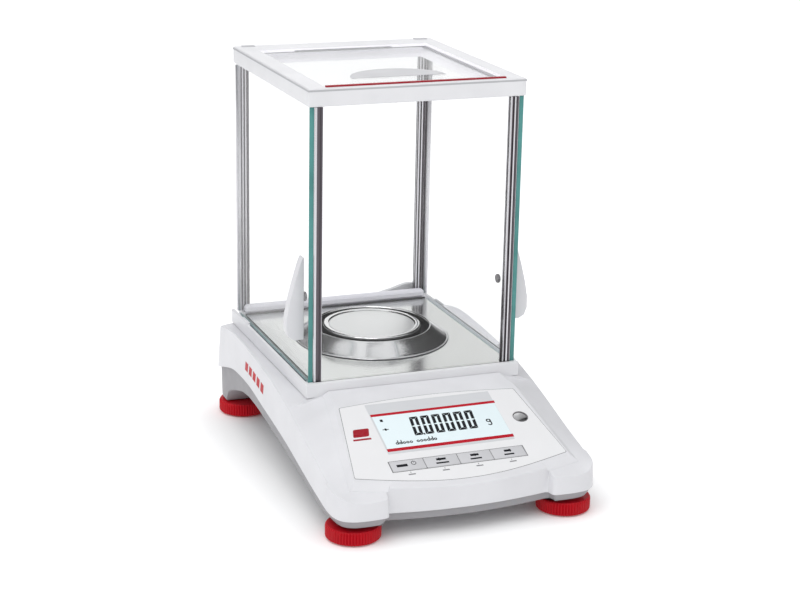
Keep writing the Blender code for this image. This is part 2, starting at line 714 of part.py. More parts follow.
# ------------------------------------------------------------------ levelling feet

def foot_places():
    """Side and depth of the four feet."""
    return [(side, y) for y in FOOT_Y for side in (-1, 1)]


def make_feet():
    wheel = [
        (4.3, FOOT_TOP), (FOOT_RADIUS - 1.2, FOOT_TOP), (FOOT_RADIUS, FOOT_TOP - 1.2), (FOOT_RADIUS, 1.8),
        (FOOT_RADIUS - 0.7, 1.0), (16.3, 1.0), (16.3, 3.2), (4.3, 3.2),
    ]
    for side, y in foot_places():
        name = ("front" if y < 0.0 else "rear") + ("_left" if side < 0 else "_right")
        centre = (side * FOOT_X, y)
        turned(f"foot_wheel_{name}", wheel, centre, RED, 40)
        rod(f"foot_stud_{name}", STUD_RADIUS, 3.3, 30.0, centre, STEEL, sides=20)
        rod(f"foot_pad_{name}", 16.0, 0.0, 2.9, centre, RUBBER, sides=32)


# ------------------------------------------------------------------ assembly

PANEL_FRAME = bpy.data.objects.new("panel_frame", None)
PARTS.objects.link(PANEL_FRAME)
PANEL_FRAME.location = (0.0, PANEL_Y * MM, PANEL_Z * MM)
PANEL_FRAME.rotation_euler = (PANEL_TILT, 0.0, 0.0)

make_upper_housing()
make_lower_chassis()
make_bezel()
make_overlay()
make_display()
make_keys()
make_level()
make_shield_base()
make_posts()
make_fixed_glass()
make_top_frame()
make_side_doors()
make_top_door()
make_pan()
make_load_cell()
make_calibration()
make_electronics()
make_hook_cover()
make_feet()
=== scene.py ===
"""Looks for the analytical balance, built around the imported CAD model. Lengths are in millimetres."""

import json
import math

import bmesh
import bpy
from mathutils import Matrix, Vector


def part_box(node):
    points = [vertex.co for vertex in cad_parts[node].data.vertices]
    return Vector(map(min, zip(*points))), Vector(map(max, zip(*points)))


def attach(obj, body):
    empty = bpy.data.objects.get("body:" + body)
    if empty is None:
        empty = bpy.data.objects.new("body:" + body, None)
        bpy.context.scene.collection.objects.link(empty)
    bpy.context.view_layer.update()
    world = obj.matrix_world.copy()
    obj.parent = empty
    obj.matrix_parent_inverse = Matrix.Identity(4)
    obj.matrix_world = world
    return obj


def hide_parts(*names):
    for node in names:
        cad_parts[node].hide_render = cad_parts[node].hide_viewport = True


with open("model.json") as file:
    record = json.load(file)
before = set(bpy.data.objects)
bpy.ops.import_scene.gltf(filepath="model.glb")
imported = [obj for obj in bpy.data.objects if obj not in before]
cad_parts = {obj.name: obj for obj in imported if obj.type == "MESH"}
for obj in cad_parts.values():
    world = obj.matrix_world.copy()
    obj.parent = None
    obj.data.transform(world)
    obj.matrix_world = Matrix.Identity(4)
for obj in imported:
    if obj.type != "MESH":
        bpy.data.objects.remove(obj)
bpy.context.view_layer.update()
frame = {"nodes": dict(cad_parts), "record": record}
MM = 0.001
NODES = frame["nodes"]


def span(node):
    """Lowest and highest corner of a CAD node, in millimetres."""
    low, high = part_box(node)
    return low / MM, high / MM


# Materials

def new_material(name):
    mat = bpy.data.materials.new(name)
    mat.use_nodes = True
    tree = mat.node_tree
    return mat, tree, tree.nodes["Principled BSDF"]


def preset(made, **values):
    """Set inputs of a node by name, with _ for a space."""
    for key, value in values.items():
        made.inputs[key.replace("_", " ")].default_value = value


def math_node(tree, kind, operation, *inputs, result=0):
    """A Math or VectorMath node. Its inputs are sockets to link or values to set."""
    made = tree.nodes.new("ShaderNode" + kind)
    made.operation = operation
    for socket, value in zip(made.inputs, inputs):
        if isinstance(value, bpy.types.NodeSocket):
            tree.links.new(value, socket)
        else:
            socket.default_value = value
    return made.outputs[result]


def mixed(tree, share, first, second):
    """A shader that goes from the first to the second by the share."""
    made = tree.nodes.new("ShaderNodeMixShader")
    for socket, source in zip(made.inputs, (share, first, second)):
        tree.links.new(source, socket)
    return made.outputs[0]


def coordinates(tree, stretch=(1.0, 1.0, 1.0)):
    """Object coordinates, stretched."""
    where = tree.nodes.new("ShaderNodeTexCoord")
    scale = tree.nodes.new("ShaderNodeMapping")
    scale.inputs["Scale"].default_value = stretch
    tree.links.new(where.outputs["Object"], scale.inputs["Vector"])
    return scale.outputs["Vector"]


def noise(tree, vector, scale, detail=3.0):
    made = tree.nodes.new("ShaderNodeTexNoise")
    preset(made, Scale=scale, Detail=detail)
    tree.links.new(vector, made.inputs["Vector"])
    return made.outputs["Fac"]


def spread(tree, value, low, high, source_low=0.3, source_high=0.7):
    """Map a noise value to a range."""
    made = tree.nodes.new("ShaderNodeMapRange")
    preset(made, From_Min=source_low, From_Max=source_high, To_Min=low, To_Max=high)
    tree.links.new(value, made.inputs["Value"])
    return made.outputs["Result"]


def tinted(tree, value, dark, light):
    ramp = tree.nodes.new("ShaderNodeMix")
    ramp.data_type = "RGBA"
    preset(ramp, A=(*dark, 1.0), B=(*light, 1.0))
    tree.links.new(value, ramp.inputs["Factor"])
    return ramp.outputs["Result"]


def surfaced(tree, shader, pattern, colour, shift, finish, rough):
    """Link a mottled colour and an uneven roughness to a shader."""
    dark = tuple(c * (1.0 - shift) for c in colour)
    light = tuple(min(1.0, c * (1.0 + shift)) for c in colour)
    tree.links.new(tinted(tree, spread(tree, pattern, 0.0, 1.0), dark, light), shader.inputs["Base Color"])
    tree.links.new(spread(tree, finish, *rough), shader.inputs["Roughness"])


def bumped(tree, shader, height, strength, distance=0.0002):
    bump = tree.nodes.new("ShaderNodeBump")
    preset(bump, Strength=strength, Distance=distance)
    tree.links.new(height, bump.inputs["Height"])
    tree.links.new(bump.outputs["Normal"], shader.inputs["Normal"])


def moulded(name, colour, rough=(0.3, 0.42), grain=2600.0, strength=0.06, coat=0.0, shift=0.03, gloss=0.5):
    """Moulded plastic: fine grain, faint mottling and uneven gloss."""
    mat, tree, shader = new_material(name)
    place = coordinates(tree)
    surfaced(tree, shader, noise(tree, place, 30.0), colour, shift, noise(tree, place, 90.0), rough)
    bumped(tree, shader, noise(tree, place, grain, 2.0), strength)
    preset(shader, Specular_IOR_Level=gloss, Coat_Weight=coat, Coat_Roughness=0.12)
    return mat


def metal(name, colour, rough, stretch, scale, strength=0.05, shift=0.05):
    """Brushed or drawn metal: noise stretched along the grain."""
    mat, tree, shader = new_material(name)
    place = coordinates(tree, stretch)
    lines = noise(tree, place, scale, 4.0)
    surfaced(tree, shader, lines, colour, shift, lines, rough)
    bumped(tree, shader, lines, strength, 0.0001)
    preset(shader, Metallic=1.0)
    return mat


def turned_metal(name, colour, rough, centre, rings=2200.0, strength=0.05):
    """Metal finished on a lathe: fine rings round an upright axis."""
    mat, tree, shader = new_material(name)
    axis = (centre[0] * MM, centre[1] * MM, 0.0)
    away = math_node(tree, "VectorMath", "SUBTRACT", coordinates(tree), axis)
    parts = tree.nodes.new("ShaderNodeSeparateXYZ")
    tree.links.new(away, parts.inputs[0])
    flat = tree.nodes.new("ShaderNodeCombineXYZ")
    tree.links.new(parts.outputs["X"], flat.inputs["X"])
    tree.links.new(parts.outputs["Y"], flat.inputs["Y"])
    line = tree.nodes.new("ShaderNodeCombineXYZ")
    tree.links.new(math_node(tree, "VectorMath", "LENGTH", flat.outputs[0], result="Value"), line.inputs["X"])
    tree.links.new(parts.outputs["Z"], line.inputs["Y"])
    grooves = noise(tree, line.outputs[0], rings, 3.0)
    dark = tuple(c * 0.94 for c in colour)
    tree.links.new(tinted(tree, spread(tree, grooves, 0.0, 1.0), dark, colour), shader.inputs["Base Color"])
    tree.links.new(spread(tree, grooves, *rough), shader.inputs["Roughness"])
    bumped(tree, shader, grooves, strength, 0.00005)
    preset(shader, Metallic=1.0)
    return mat


def glass(name, tint):
    """Clear plate glass: seen straight through, with a mirror sheen that grows at a glancing angle."""
    mat, tree, shader = new_material(name)
    tree.nodes.remove(shader)
    place = coordinates(tree)
    clear = tree.nodes.new("ShaderNodeBsdfTransparent")
    tree.links.new(tinted(tree, noise(tree, place, 9.0), tint, (1.0, 1.0, 1.0)), clear.inputs["Color"])
    mirror = tree.nodes.new("ShaderNodeBsdfAnisotropic")
    tree.links.new(spread(tree, noise(tree, place, 14.0, 5.0), 0.0, 0.012, 0.45, 0.8), mirror.inputs["Roughness"])
    facing = tree.nodes.new("ShaderNodeLayerWeight")
    glancing = math_node(tree, "Math", "POWER", facing.outputs["Facing"], 5.0)
    share = math_node(tree, "Math", "MULTIPLY_ADD", glancing, 0.6, 0.02)
    sheen = mixed(tree, share, clear.outputs[0], mirror.outputs[0])
    tree.links.new(sheen, tree.nodes["Material Output"].inputs["Surface"])
    return mat


def lit_screen(name, colour, glow):
    """Backlit display: a faint pixel grid and a soft glow."""
    mat, tree, shader = new_material(name)
    place = coordinates(tree)
    grid = noise(tree, place, 1500.0, 1.0)
    dark = tuple(c * 0.985 for c in colour)
    shade = tinted(tree, spread(tree, grid, 0.0, 1.0), dark, colour)
    tree.links.new(shade, shader.inputs["Base Color"])
    tree.links.new(shade, shader.inputs["Emission Color"])
    tree.links.new(spread(tree, noise(tree, place, 60.0), 0.16, 0.24), shader.inputs["Roughness"])
    preset(shader, Emission_Strength=glow)
    return mat


PAN_LOW, PAN_HIGH = span("weighing_pan")
PAN_CENTRE = ((PAN_LOW.x + PAN_HIGH.x) / 2, (PAN_LOW.y + PAN_HIGH.y) / 2)

WHITE = moulded("white_plastic", (0.764, 0.764, 0.788), (0.3, 0.4), coat=0.05)
SHIELD_WHITE = moulded("shield_white", (0.82, 0.82, 0.84), (0.28, 0.38), coat=0.05)
GREY = moulded("grey_plastic", (0.35, 0.345, 0.36), (0.42, 0.55), 1800.0, 0.12, gloss=0.35)
LIGHT_GREY = moulded("light_grey_plastic", (0.62, 0.62, 0.64), (0.35, 0.48))
BAR_WHITE = moulded("bar_white", (0.80, 0.79, 0.85), (0.3, 0.42))
CAP_GREY = moulded("cap_grey", (0.20, 0.19, 0.20), (0.3, 0.42))
# Painted shade: a grey for the band round the top frame's upper edge, in place of the darker shade of a chamfer
FRAME_EDGE_SHADE = moulded("frame_edge_painted_shade", (0.50, 0.50, 0.52), (0.35, 0.45))
OVERLAY = moulded("overlay_film", (0.84, 0.84, 0.85), (0.42, 0.52), 5200.0, 0.04, shift=0.01)
BAND = moulded("overlay_grey", (0.66, 0.67, 0.69), (0.42, 0.52), 5200.0, 0.04, shift=0.01)
KEY = moulded("key_grey", (0.62, 0.62, 0.64), (0.4, 0.5), 4200.0, 0.05, shift=0.015)
LINE_RED = moulded("printed_red", (0.50, 0.008, 0.022), (0.35, 0.45), 5200.0, 0.03, gloss=0.15)
# Black print ink, also used as painted shade round the pan support
INK_AND_SHADE = moulded("printed_ink_and_painted_shade", (0.012, 0.012, 0.016), (0.4, 0.55), 5200.0, 0.03, shift=0.1, gloss=0.15)
HAIRLINE = moulded("hairline", (0.22, 0.22, 0.23), (0.5, 0.6), 5200.0, 0.03)
RED = moulded("red_plastic", (0.52, 0.005, 0.014), (0.3, 0.42), 2200.0, 0.1, shift=0.08, gloss=0.18)
RED_TRIM = moulded("red_trim", (0.36, 0.008, 0.02), (0.25, 0.35), 3000.0, 0.04, gloss=0.2)
DARK = moulded("dark_plastic", (0.045, 0.045, 0.05), (0.4, 0.55), 1800.0, 0.1, shift=0.1)
RUBBER = moulded("black_rubber", (0.03, 0.03, 0.03), (0.75, 0.9), 1500.0, 0.3, shift=0.15)
BOARD = moulded("circuit_board", (0.02, 0.16, 0.07), (0.35, 0.5), 900.0, 0.1, shift=0.2)
SCREEN = lit_screen("screen", (0.77, 0.87, 0.90), 0.08)
PLATE = metal("stainless_plate", (0.74, 0.75, 0.735), (0.13, 0.2), (1.0, 0.02, 1.0), 3600.0, 0.02, 0.02)
RIM = turned_metal("polished_rim", (0.84, 0.84, 0.84), (0.06, 0.12), PAN_CENTRE)
# Painted shade: a dark copy of the rim's metal for the pan's outer wall, in place of the shade in the gap round the pan
RIM_SIDE_SHADE = turned_metal("rim_side_shade", (0.20, 0.20, 0.205), (0.12, 0.2), PAN_CENTRE)
DISC = turned_metal("satin_disc", (0.86, 0.865, 0.86), (0.3, 0.4), PAN_CENTRE, 900.0)
RING = turned_metal("ring_steel", (0.76, 0.76, 0.765), (0.12, 0.2), PAN_CENTRE, strength=0.02)
STEEL = metal("steel", (0.62, 0.62, 0.63), (0.15, 0.3), (1.0, 1.0, 1.0), 700.0)
ALUMINIUM = metal("aluminium", (0.66, 0.66, 0.68), (0.3, 0.45), (1.0, 0.1, 1.0), 900.0)
PROFILE = metal("aluminium_profile", (0.72, 0.71, 0.74), (0.24, 0.36), (1.0, 1.0, 0.02), 1600.0)
# Painted shade and reflection: a dark copy of the profile's aluminium for the grooves of the posts, where shade falls;
# also used for the lip of the door rails
GROOVE = metal("profile_groove", (0.15, 0.135, 0.15), (0.35, 0.5), (1.0, 1.0, 0.02), 1600.0)
BRASS = metal("brass", (0.62, 0.42, 0.15), (0.2, 0.35), (1.0, 1.0, 1.0), 900.0)
GLASS = glass("clear_glass", (0.997, 1.0, 0.999))
EDGE = moulded("glass_edge", (0.105, 0.31, 0.295), (0.2, 0.35), 240.0, 0.2, shift=0.16, gloss=0.15)

# Painted light: a lighter white that glows, for the shaded inner walls of the top frame and the walls of the tray's
# door grooves, so that they read bright
FRAME_INNER_PAINTED_LIGHT = moulded("frame_inner_painted_light", (0.93, 0.92, 0.96), (0.3, 0.42), shift=0.04)
# Painted light: a lighter, glowing white for the shaded inner slope of the right shoulder, seen through the right door
SHOULDER_PAINTED_LIGHT = moulded("shoulder_painted_light", (0.88, 0.88, 0.91), shift=0.03)
# The glow of both is painted light, not a lamp
for mat, glow in ((FRAME_INNER_PAINTED_LIGHT, 0.22), (SHOULDER_PAINTED_LIGHT, 0.16)):
    preset(mat.node_tree.nodes["Principled BSDF"], Emission_Color=(0.93, 0.92, 0.96, 1.0), Emission_Strength=glow)
FOOT_EDGE = moulded("glass_foot", (0.34, 0.46, 0.46), (0.2, 0.35), 240.0, 0.2, shift=0.12, gloss=0.3)

SLOT_MATERIALS = dict(
    white_plastic=WHITE, grey_plastic=GREY, light_grey_plastic=LIGHT_GREY, panel_overlay=OVERLAY, key_grey=KEY,
    screen=SCREEN, circuit_board=BOARD, dark_plastic=DARK, red_plastic=RED, red_trim=RED_TRIM,
    stainless_plate=PLATE, polished_steel=STEEL, aluminium=ALUMINIUM, aluminium_profile=PROFILE, brass=BRASS,
    black_rubber=RUBBER, clear_glass=GLASS,
)
NODE_SLOT = {row["node"]: row["material_slot"] for row in frame["record"]["subparts"]}
NODE_BODY = {n: b for b, names in frame["record"]["behaviour"]["bodies"].items() for n in names}
for cad_name, cad_object in NODES.items():
    cad_object.data.materials.clear()
    cad_object.data.materials.append(SLOT_MATERIALS[NODE_SLOT[cad_name]])


# Mesh helpers

def smooth(mesh, degrees=32.0):
    mesh.polygons.foreach_set("use_smooth", [True] * len(mesh.polygons))
    if not mesh.has_custom_normals:
        mesh.set_sharp_from_angle(angle=math.radians(degrees))


def settle(thing):
    """Apply the modifiers of a piece."""
    bpy.context.view_layer.update()
    solved = thing.evaluated_get(bpy.context.evaluated_depsgraph_get())
    mesh = bpy.data.meshes.new_from_object(solved)
    thing.modifiers.clear()
    thing.data = mesh
    return thing


def bevel(thing, width, segments=3, degrees=30.0):
    made = thing.modifiers.new("bevel", "BEVEL")
    made.width = width * MM
    made.segments = segments
    made.limit_method = "ANGLE"
    made.angle_limit = math.radians(degrees)
    made.use_clamp_overlap = True
    return settle(thing)


def flatten(thing):
    """Let the broad faces set the shading, so that rounded edges stay narrow."""
    made = thing.modifiers.new("normals", "WEIGHTED_NORMAL")
    made.mode = "FACE_AREA"
    made.weight = 90
    made.keep_sharp = True
    return settle(thing)


def carve(thing, cutter):
    made = thing.modifiers.new("carve", "BOOLEAN")
    made.operation = "DIFFERENCE"
    made.solver = "EXACT"
    made.object = cutter
    settle(thing)
    bpy.data.objects.remove(cutter)
    return thing


def repaint(thing, mat, chosen):
    """Give a second material to the faces that chosen picks by centre, in millimetres, and normal."""
    thing.data.materials.append(mat)
    for face in thing.data.polygons:
        if chosen(face.center / MM, face.normal):
            face.material_index = 1
    return thing


def object_from(name, data, mat=None):
    thing = bpy.data.objects.new(name, data)
    bpy.context.scene.collection.objects.link(thing)
    if mat is not None:
        data.materials.clear()
        data.materials.append(mat)
    return thing


def mesh_of(name, points, faces):
    mesh = bpy.data.meshes.new(name)
    mesh.from_pydata([(x * MM, y * MM, z * MM) for x, y, z in points], [], faces)
    edit = bmesh.new()
    edit.from_mesh(mesh)
    bmesh.ops.remove_doubles(edit, verts=edit.verts, dist=1e-7)
    bmesh.ops.recalc_face_normals(edit, faces=edit.faces)
    edit.to_mesh(mesh)
    edit.free()
    return mesh


def done(thing, body, replaced=(), degrees=32.0, flat=False):
    """Shade a piece, give it its body and hide the CAD nodes it stands for."""
    smooth(thing.data, degrees)
    if flat:
        flatten(thing)
    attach(thing, body)
    if replaced:
        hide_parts(*replaced)
    return thing


def solid_faces(count, start=0):
    """Faces of a solid between two outlines of count points, whose points follow each other from start."""
    ends = [tuple(range(start, start + count)), tuple(range(start + 2 * count - 1, start + count - 1, -1))]
    return ends + [(start + k, start + (k + 1) % count, start + count + (k + 1) % count, start + count + k)
                   for k in range(count)]


def turned_faces(sides, count, strips=None):
    """Faces of a profile of count points that goes all the way round. It is closed unless strips is count - 1."""
    return [(k * count + p, (k + 1) % sides * count + p, (k + 1) % sides * count + (p + 1) % count,
             k * count + (p + 1) % count) for k in range(sides) for p in range(strips or count)]


def prism(name, outline, low, high, mat, normal="Z"):
    """A solid from an outline. normal Y takes (x, z) points."""
    points = [(a, b, c) if normal == "Z" else (a, c, b) for c in (low, high) for a, b in outline]
    return object_from(name, mesh_of(name, points, solid_faces(len(outline))), mat)


def block(name, low, high, mat):
    outline = [(low[0], low[1]), (high[0], low[1]), (high[0], high[1]), (low[0], high[1])]
    return prism(name, outline, low[2], high[2], mat)


def trim(name, low, high, mat, width, body, segments=2):
    """A small block with rounded edges."""
    return done(bevel(block(name, low, high, mat), width, segments), body)


def flank(sign, near, far):
    """Two distances from the middle plane as x values on one side, lowest first."""
    return sorted((sign * near, sign * far))


def lathe(name, profile, centre, mat, sides):
    """Turn a closed profile of (radius, height) points round an upright axis."""
    points = []
    for k in range(sides):
        turn = 2 * math.pi * k / sides
        points += [(radius * math.cos(turn) + centre[0], radius * math.sin(turn) + centre[1], height)
                   for radius, height in profile]
    return object_from(name, mesh_of(name, points, turned_faces(sides, len(profile))), mat)


def middle_of(low, high):
    return (low.x + high.x) / 2, (low.y + high.y) / 2


def rounded(profile, radius, steps=5):
    """Round the corners of a closed profile."""
    made = []
    count = len(profile)
    for k, here in enumerate(profile):
        here = Vector(here[:2])
        before = Vector(profile[k - 1][:2]) - here
        after = Vector(profile[(k + 1) % count][:2]) - here
        reach = min(radius, before.length * 0.45, after.length * 0.45)
        start = here + before.normalized() * reach
        end = here + after.normalized() * reach
        for s in range(steps + 1):
            t = s / steps
            made.append(tuple((1 - t) ** 2 * start + 2 * t * (1 - t) * here + t * t * end))
    return made


def refined(name, cad_name, mat, width, segments=3, degrees=30.0, clear=False):
    """A finished copy of a CAD node: flat faces merged and edges rounded."""
    mesh = NODES[cad_name].data.copy()
    mesh.name = name
    edit = bmesh.new()
    edit.from_mesh(mesh)
    bmesh.ops.remove_doubles(edit, verts=edit.verts, dist=2e-6)
    bmesh.ops.dissolve_limit(edit, angle_limit=math.radians(1.5), verts=edit.verts, edges=edit.edges)
    edit.to_mesh(mesh)
    edit.free()
    if "custom_normal" in mesh.attributes:
        mesh.attributes.remove(mesh.attributes["custom_normal"])
    thing = object_from(name, mesh, mat)
    bevel(thing, width, segments, degrees)
    return done(thing, NODE_BODY[cad_name], (cad_name,), 5.0 if clear else 50.0, not clear)


def inside(point, low, high, margin):
    """Whether a point lies further than the margin inside a box, seen from above."""
    return low.x + margin < point.x < high.x - margin and low.y + margin < point.y < high.y - margin


def hermite(table, y, column):
    """Read a column of a table by a smooth curve through its rows."""
    last = len(table) - 1
    if y <= table[0][0]:
        return table[0][column]
    if y >= table[last][0]:
        return table[last][column]
    k = max(i for i in range(last) if table[i][0] <= y)
    a, b = table[k], table[k + 1]
    before, after = table[max(k - 1, 0)], table[min(k + 2, last)]
    width = b[0] - a[0]
    t = (y - a[0]) / width
    slope_a = (b[column] - before[column]) / (b[0] - before[0]) * width
    slope_b = (after[column] - a[column]) / (after[0] - a[0]) * width
    return (
        (2 * t ** 3 - 3 * t * t + 1) * a[column] + (t ** 3 - 2 * t * t + t) * slope_a
        + (3 * t * t - 2 * t ** 3) * b[column] + (t ** 3 - t * t) * slope_b
    )


def straight(table, y):
    """Read a table of two columns by straight lines."""
    for a, b in zip(table, table[1:]):
        if y <= b[0]:
            return a[1] + max(0.0, y - a[0]) / (b[0] - a[0]) * (b[1] - a[1])
    return table[-1][1]


def chain(points, steps):
    """Smooth points through control points."""
    made = []
    last = len(points) - 1
    for k in range(last):
        a, b = Vector(points[k]), Vector(points[k + 1])
        before, after = Vector(points[max(k - 1, 0)]), Vector(points[min(k + 2, last)])
        for s in range(steps):
            t = s / steps
            made.append(tuple(
                0.5 * (2 * a + (b - before) * t + (2 * before - 5 * a + 4 * b - after) * t * t
                       + (3 * a - before - 3 * b + after) * t ** 3)
            ))
    made.append(tuple(points[last]))
    return made


# Housing

# Heights along the side, front to back: y, crease, lower edge of the white band
SIDE_LINES = [
    (-162.0, 37.5, 21.0), (-150.0, 39.0, 21.0), (-130.0, 43.0, 23.4), (-100.0, 50.2, 28.2), (-70.0, 58.5, 34.0),
    (-40.0, 66.2, 39.6), (-10.0, 72.2, 43.9), (20.0, 76.3, 47.7), (50.0, 78.8, 51.7), (75.0, 80.2, 52.6),
    (100.0, 81.0, 51.3), (120.0, 79.8, 46.6), (145.0, 74.8, 39.3), (162.0, 70.0, 35.0),
]
# Underside of the chassis, front to back: y, z
BELLY = [
    (-162.0, 13.8), (-121.0, 13.8), (-78.0, 20.5), (-38.0, 26.5), (0.0, 31.5), (47.0, 36.9), (68.0, 37.8),
    (88.0, 35.6), (106.0, 30.6), (122.0, 25.0), (129.0, 20.5), (132.5, 12.2), (162.0, 12.2),
]
CREASE_X = 101.5
SIDE = 104.5
REAR = 160.5
DECK = 72.4
TRAY_FRONT = -41.8
PANEL_Y, PANEL_Z, SLOPE = -87.5, 65.2, 0.38
TILT = math.atan(SLOPE)
BEZEL_DROP = 3.3
EASE_Y = -65.0
TRAY_HALF = 88.0
# Rings of the bezel: half width at the front corner, y of the corner, y in the middle, half width at the rear
FOOT_RING = (90.5, -146.3, -158.0, 75.0)
TOP_RING = (85.3, -141.6, -152.2, 70.8)
SEAT_RING = (78.0, -135.0, -145.0, 64.0)
EAR = [
    (63.3, -152.8), (63.9, -156.9), (65.9, -159.4), (72.0, -160.3), (80.0, -160.5), (87.0, -160.0),
    (92.5, -158.6), (97.0, -156.0), (100.3, -152.3), (102.6, -147.4), (103.9, -141.2), (SIDE, -133.5),
]
REAR_CORNER = [(SIDE, 140.5), (103.9, 147.0), (102.0, 152.6), (98.4, 157.0), (93.5, 159.5), (88.0, REAR)]
EARLESS = 61.5


def bezel_top(y):
    if y <= EASE_Y:
        return PANEL_Z + SLOPE * (y - PANEL_Y)
    ridge = PANEL_Z + SLOPE * (EASE_Y - PANEL_Y)
    share = min(1.0, (y - EASE_Y) / (TRAY_FRONT - EASE_Y))
    return ridge + (77.3 - ridge) * share


def ring_front(ring, x):
    """y of a bezel ring's front edge."""
    half, corner, middle = ring[:3]
    return corner + (middle - corner) * math.cos(min(1.0, x / half) * math.pi / 2)


def ring_point(ring, front_share=0.0, side_share=None):
    """A point on the right half of a bezel ring, by its share of the front edge or of the side."""
    half, corner, _, rear_half = ring
    if side_share is None:
        return (half * front_share, ring_front(ring, half * front_share))
    return (half + (rear_half - half) * side_share, corner + (TRAY_FRONT - corner) * side_share)


def deck_height(x, y):
    """Height of the shell's top outside the bezel."""
    crease = hermite(SIDE_LINES, y, 1)
    if y > TRAY_FRONT:
        shoulder, deck = TRAY_HALF, DECK
    else:
        share = (y - FOOT_RING[1]) / (TRAY_FRONT - FOOT_RING[1])
        shoulder = FOOT_RING[0] + (FOOT_RING[3] - FOOT_RING[0]) * max(0.0, share)
        deck = bezel_top(y) - BEZEL_DROP
    if x <= shoulder:
        return deck
    if x <= CREASE_X:
        return deck + (x - shoulder) / (CREASE_X - shoulder) * (crease - deck)
    return crease - (x - CREASE_X) * 0.3


def rings_at(**share):
    """Points on the foot, top and seat rings of the bezel."""
    return tuple(ring_point(ring, **share) for ring in (FOOT_RING, TOP_RING, SEAT_RING))


def beside_tray(y, step=0.0):
    """Points on the deck beside the draft shield's tray."""
    return tuple((TRAY_HALF - inward, y - back * step) for inward, back in ((3.0, 0), (6.0, 1), (12.0, 2)))


def housing_columns():
    """Right half of the outline, front to back: outline point, foot, top and seat points, and kind."""
    rows = []
    half = FOOT_RING[0]
    for k in range(15):
        foot, top, seat = rings_at(front_share=EARLESS * k / 14 / half)
        rows.append((foot, foot, top, seat, "apron"))
    ear = chain(EAR, 4)
    for k, point in enumerate(ear):
        foot, top, seat = rings_at(front_share=(EARLESS + 1.4 + (half - EARLESS - 1.4) * k / len(ear)) / half)
        rows.append((point, (foot[0], foot[1] + 0.3), top, seat, "ear"))
    steps = 26
    for k in range(steps + 1):
        share = k / steps
        rows.append(((SIDE, -131.0 + (TRAY_FRONT + 131.0) * share), *rings_at(side_share=share), "side"))
    steps = 60
    for k in range(steps):
        y = TRAY_FRONT + 0.5 + (139.0 - TRAY_FRONT) * k / steps
        rows.append(((SIDE, y), *beside_tray(y), "side"))
    corner = chain(REAR_CORNER, 3)
    for k, point in enumerate(corner):
        rows.append((point, *beside_tray(140.0 + 8.0 * k / len(corner), 1.0), "side"))
    for k in range(1, 12):
        x = TRAY_HALF * (1 - k / 11)
        inner = tuple((x * share, y + k * 0.2) for share, y in ((0.95, 149.0), (0.9, 148.0), (0.85, 146.5)))
        rows.append(((x, REAR), *inner, "side"))
    return rows


def outward(points):
    """Outward direction at each point of the right half of an outline."""
    found = []
    last = len(points) - 1
    for k in range(len(points)):
        before = Vector(points[k - 1]) if k else Vector((-points[1][0], points[1][1]))
        after = Vector(points[k + 1]) if k < last else Vector((-points[k - 1][0], points[k - 1][1]))
        along = (after - before).normalized()
        found.append(Vector((along.y, -along.x)))
    return found


def mirrored_rings(columns):
    """Whole rings from the columns of the right half."""
    left = [[(-x, y, z) for x, y, z in column] for column in reversed(columns) if column[0][0] > 1e-6]
    return columns + left


def shell_from(name, columns, mat):
    """A closed skin from columns of points: strips between the rings, and lids across the first and last."""
    loop = mirrored_rings(columns)
    count = len(loop)
    rings = len(loop[0])
    points = [p for column in loop for p in column]
    faces = turned_faces(count, rings, rings - 1)
    for r in (0, rings - 1):
        for k in range(len(columns) - 1):
            corners = dict.fromkeys((k, k + 1, (count - k - 1) % count, (count - k) % count))
            if len(corners) > 2:
                faces.append(tuple(c * rings + r for c in corners))
    return object_from(name, mesh_of(name, points, faces), mat)


def off(point, direction, distance):
    return (point[0] - direction.x * distance, point[1] - direction.y * distance)


def between(a, b, t):
    return (a[0] + (b[0] - a[0]) * t, a[1] + (b[1] - a[1]) * t)


SKIN = 2.5
HOUSING = housing_columns()
NORMALS = outward([row[0] for row in HOUSING])


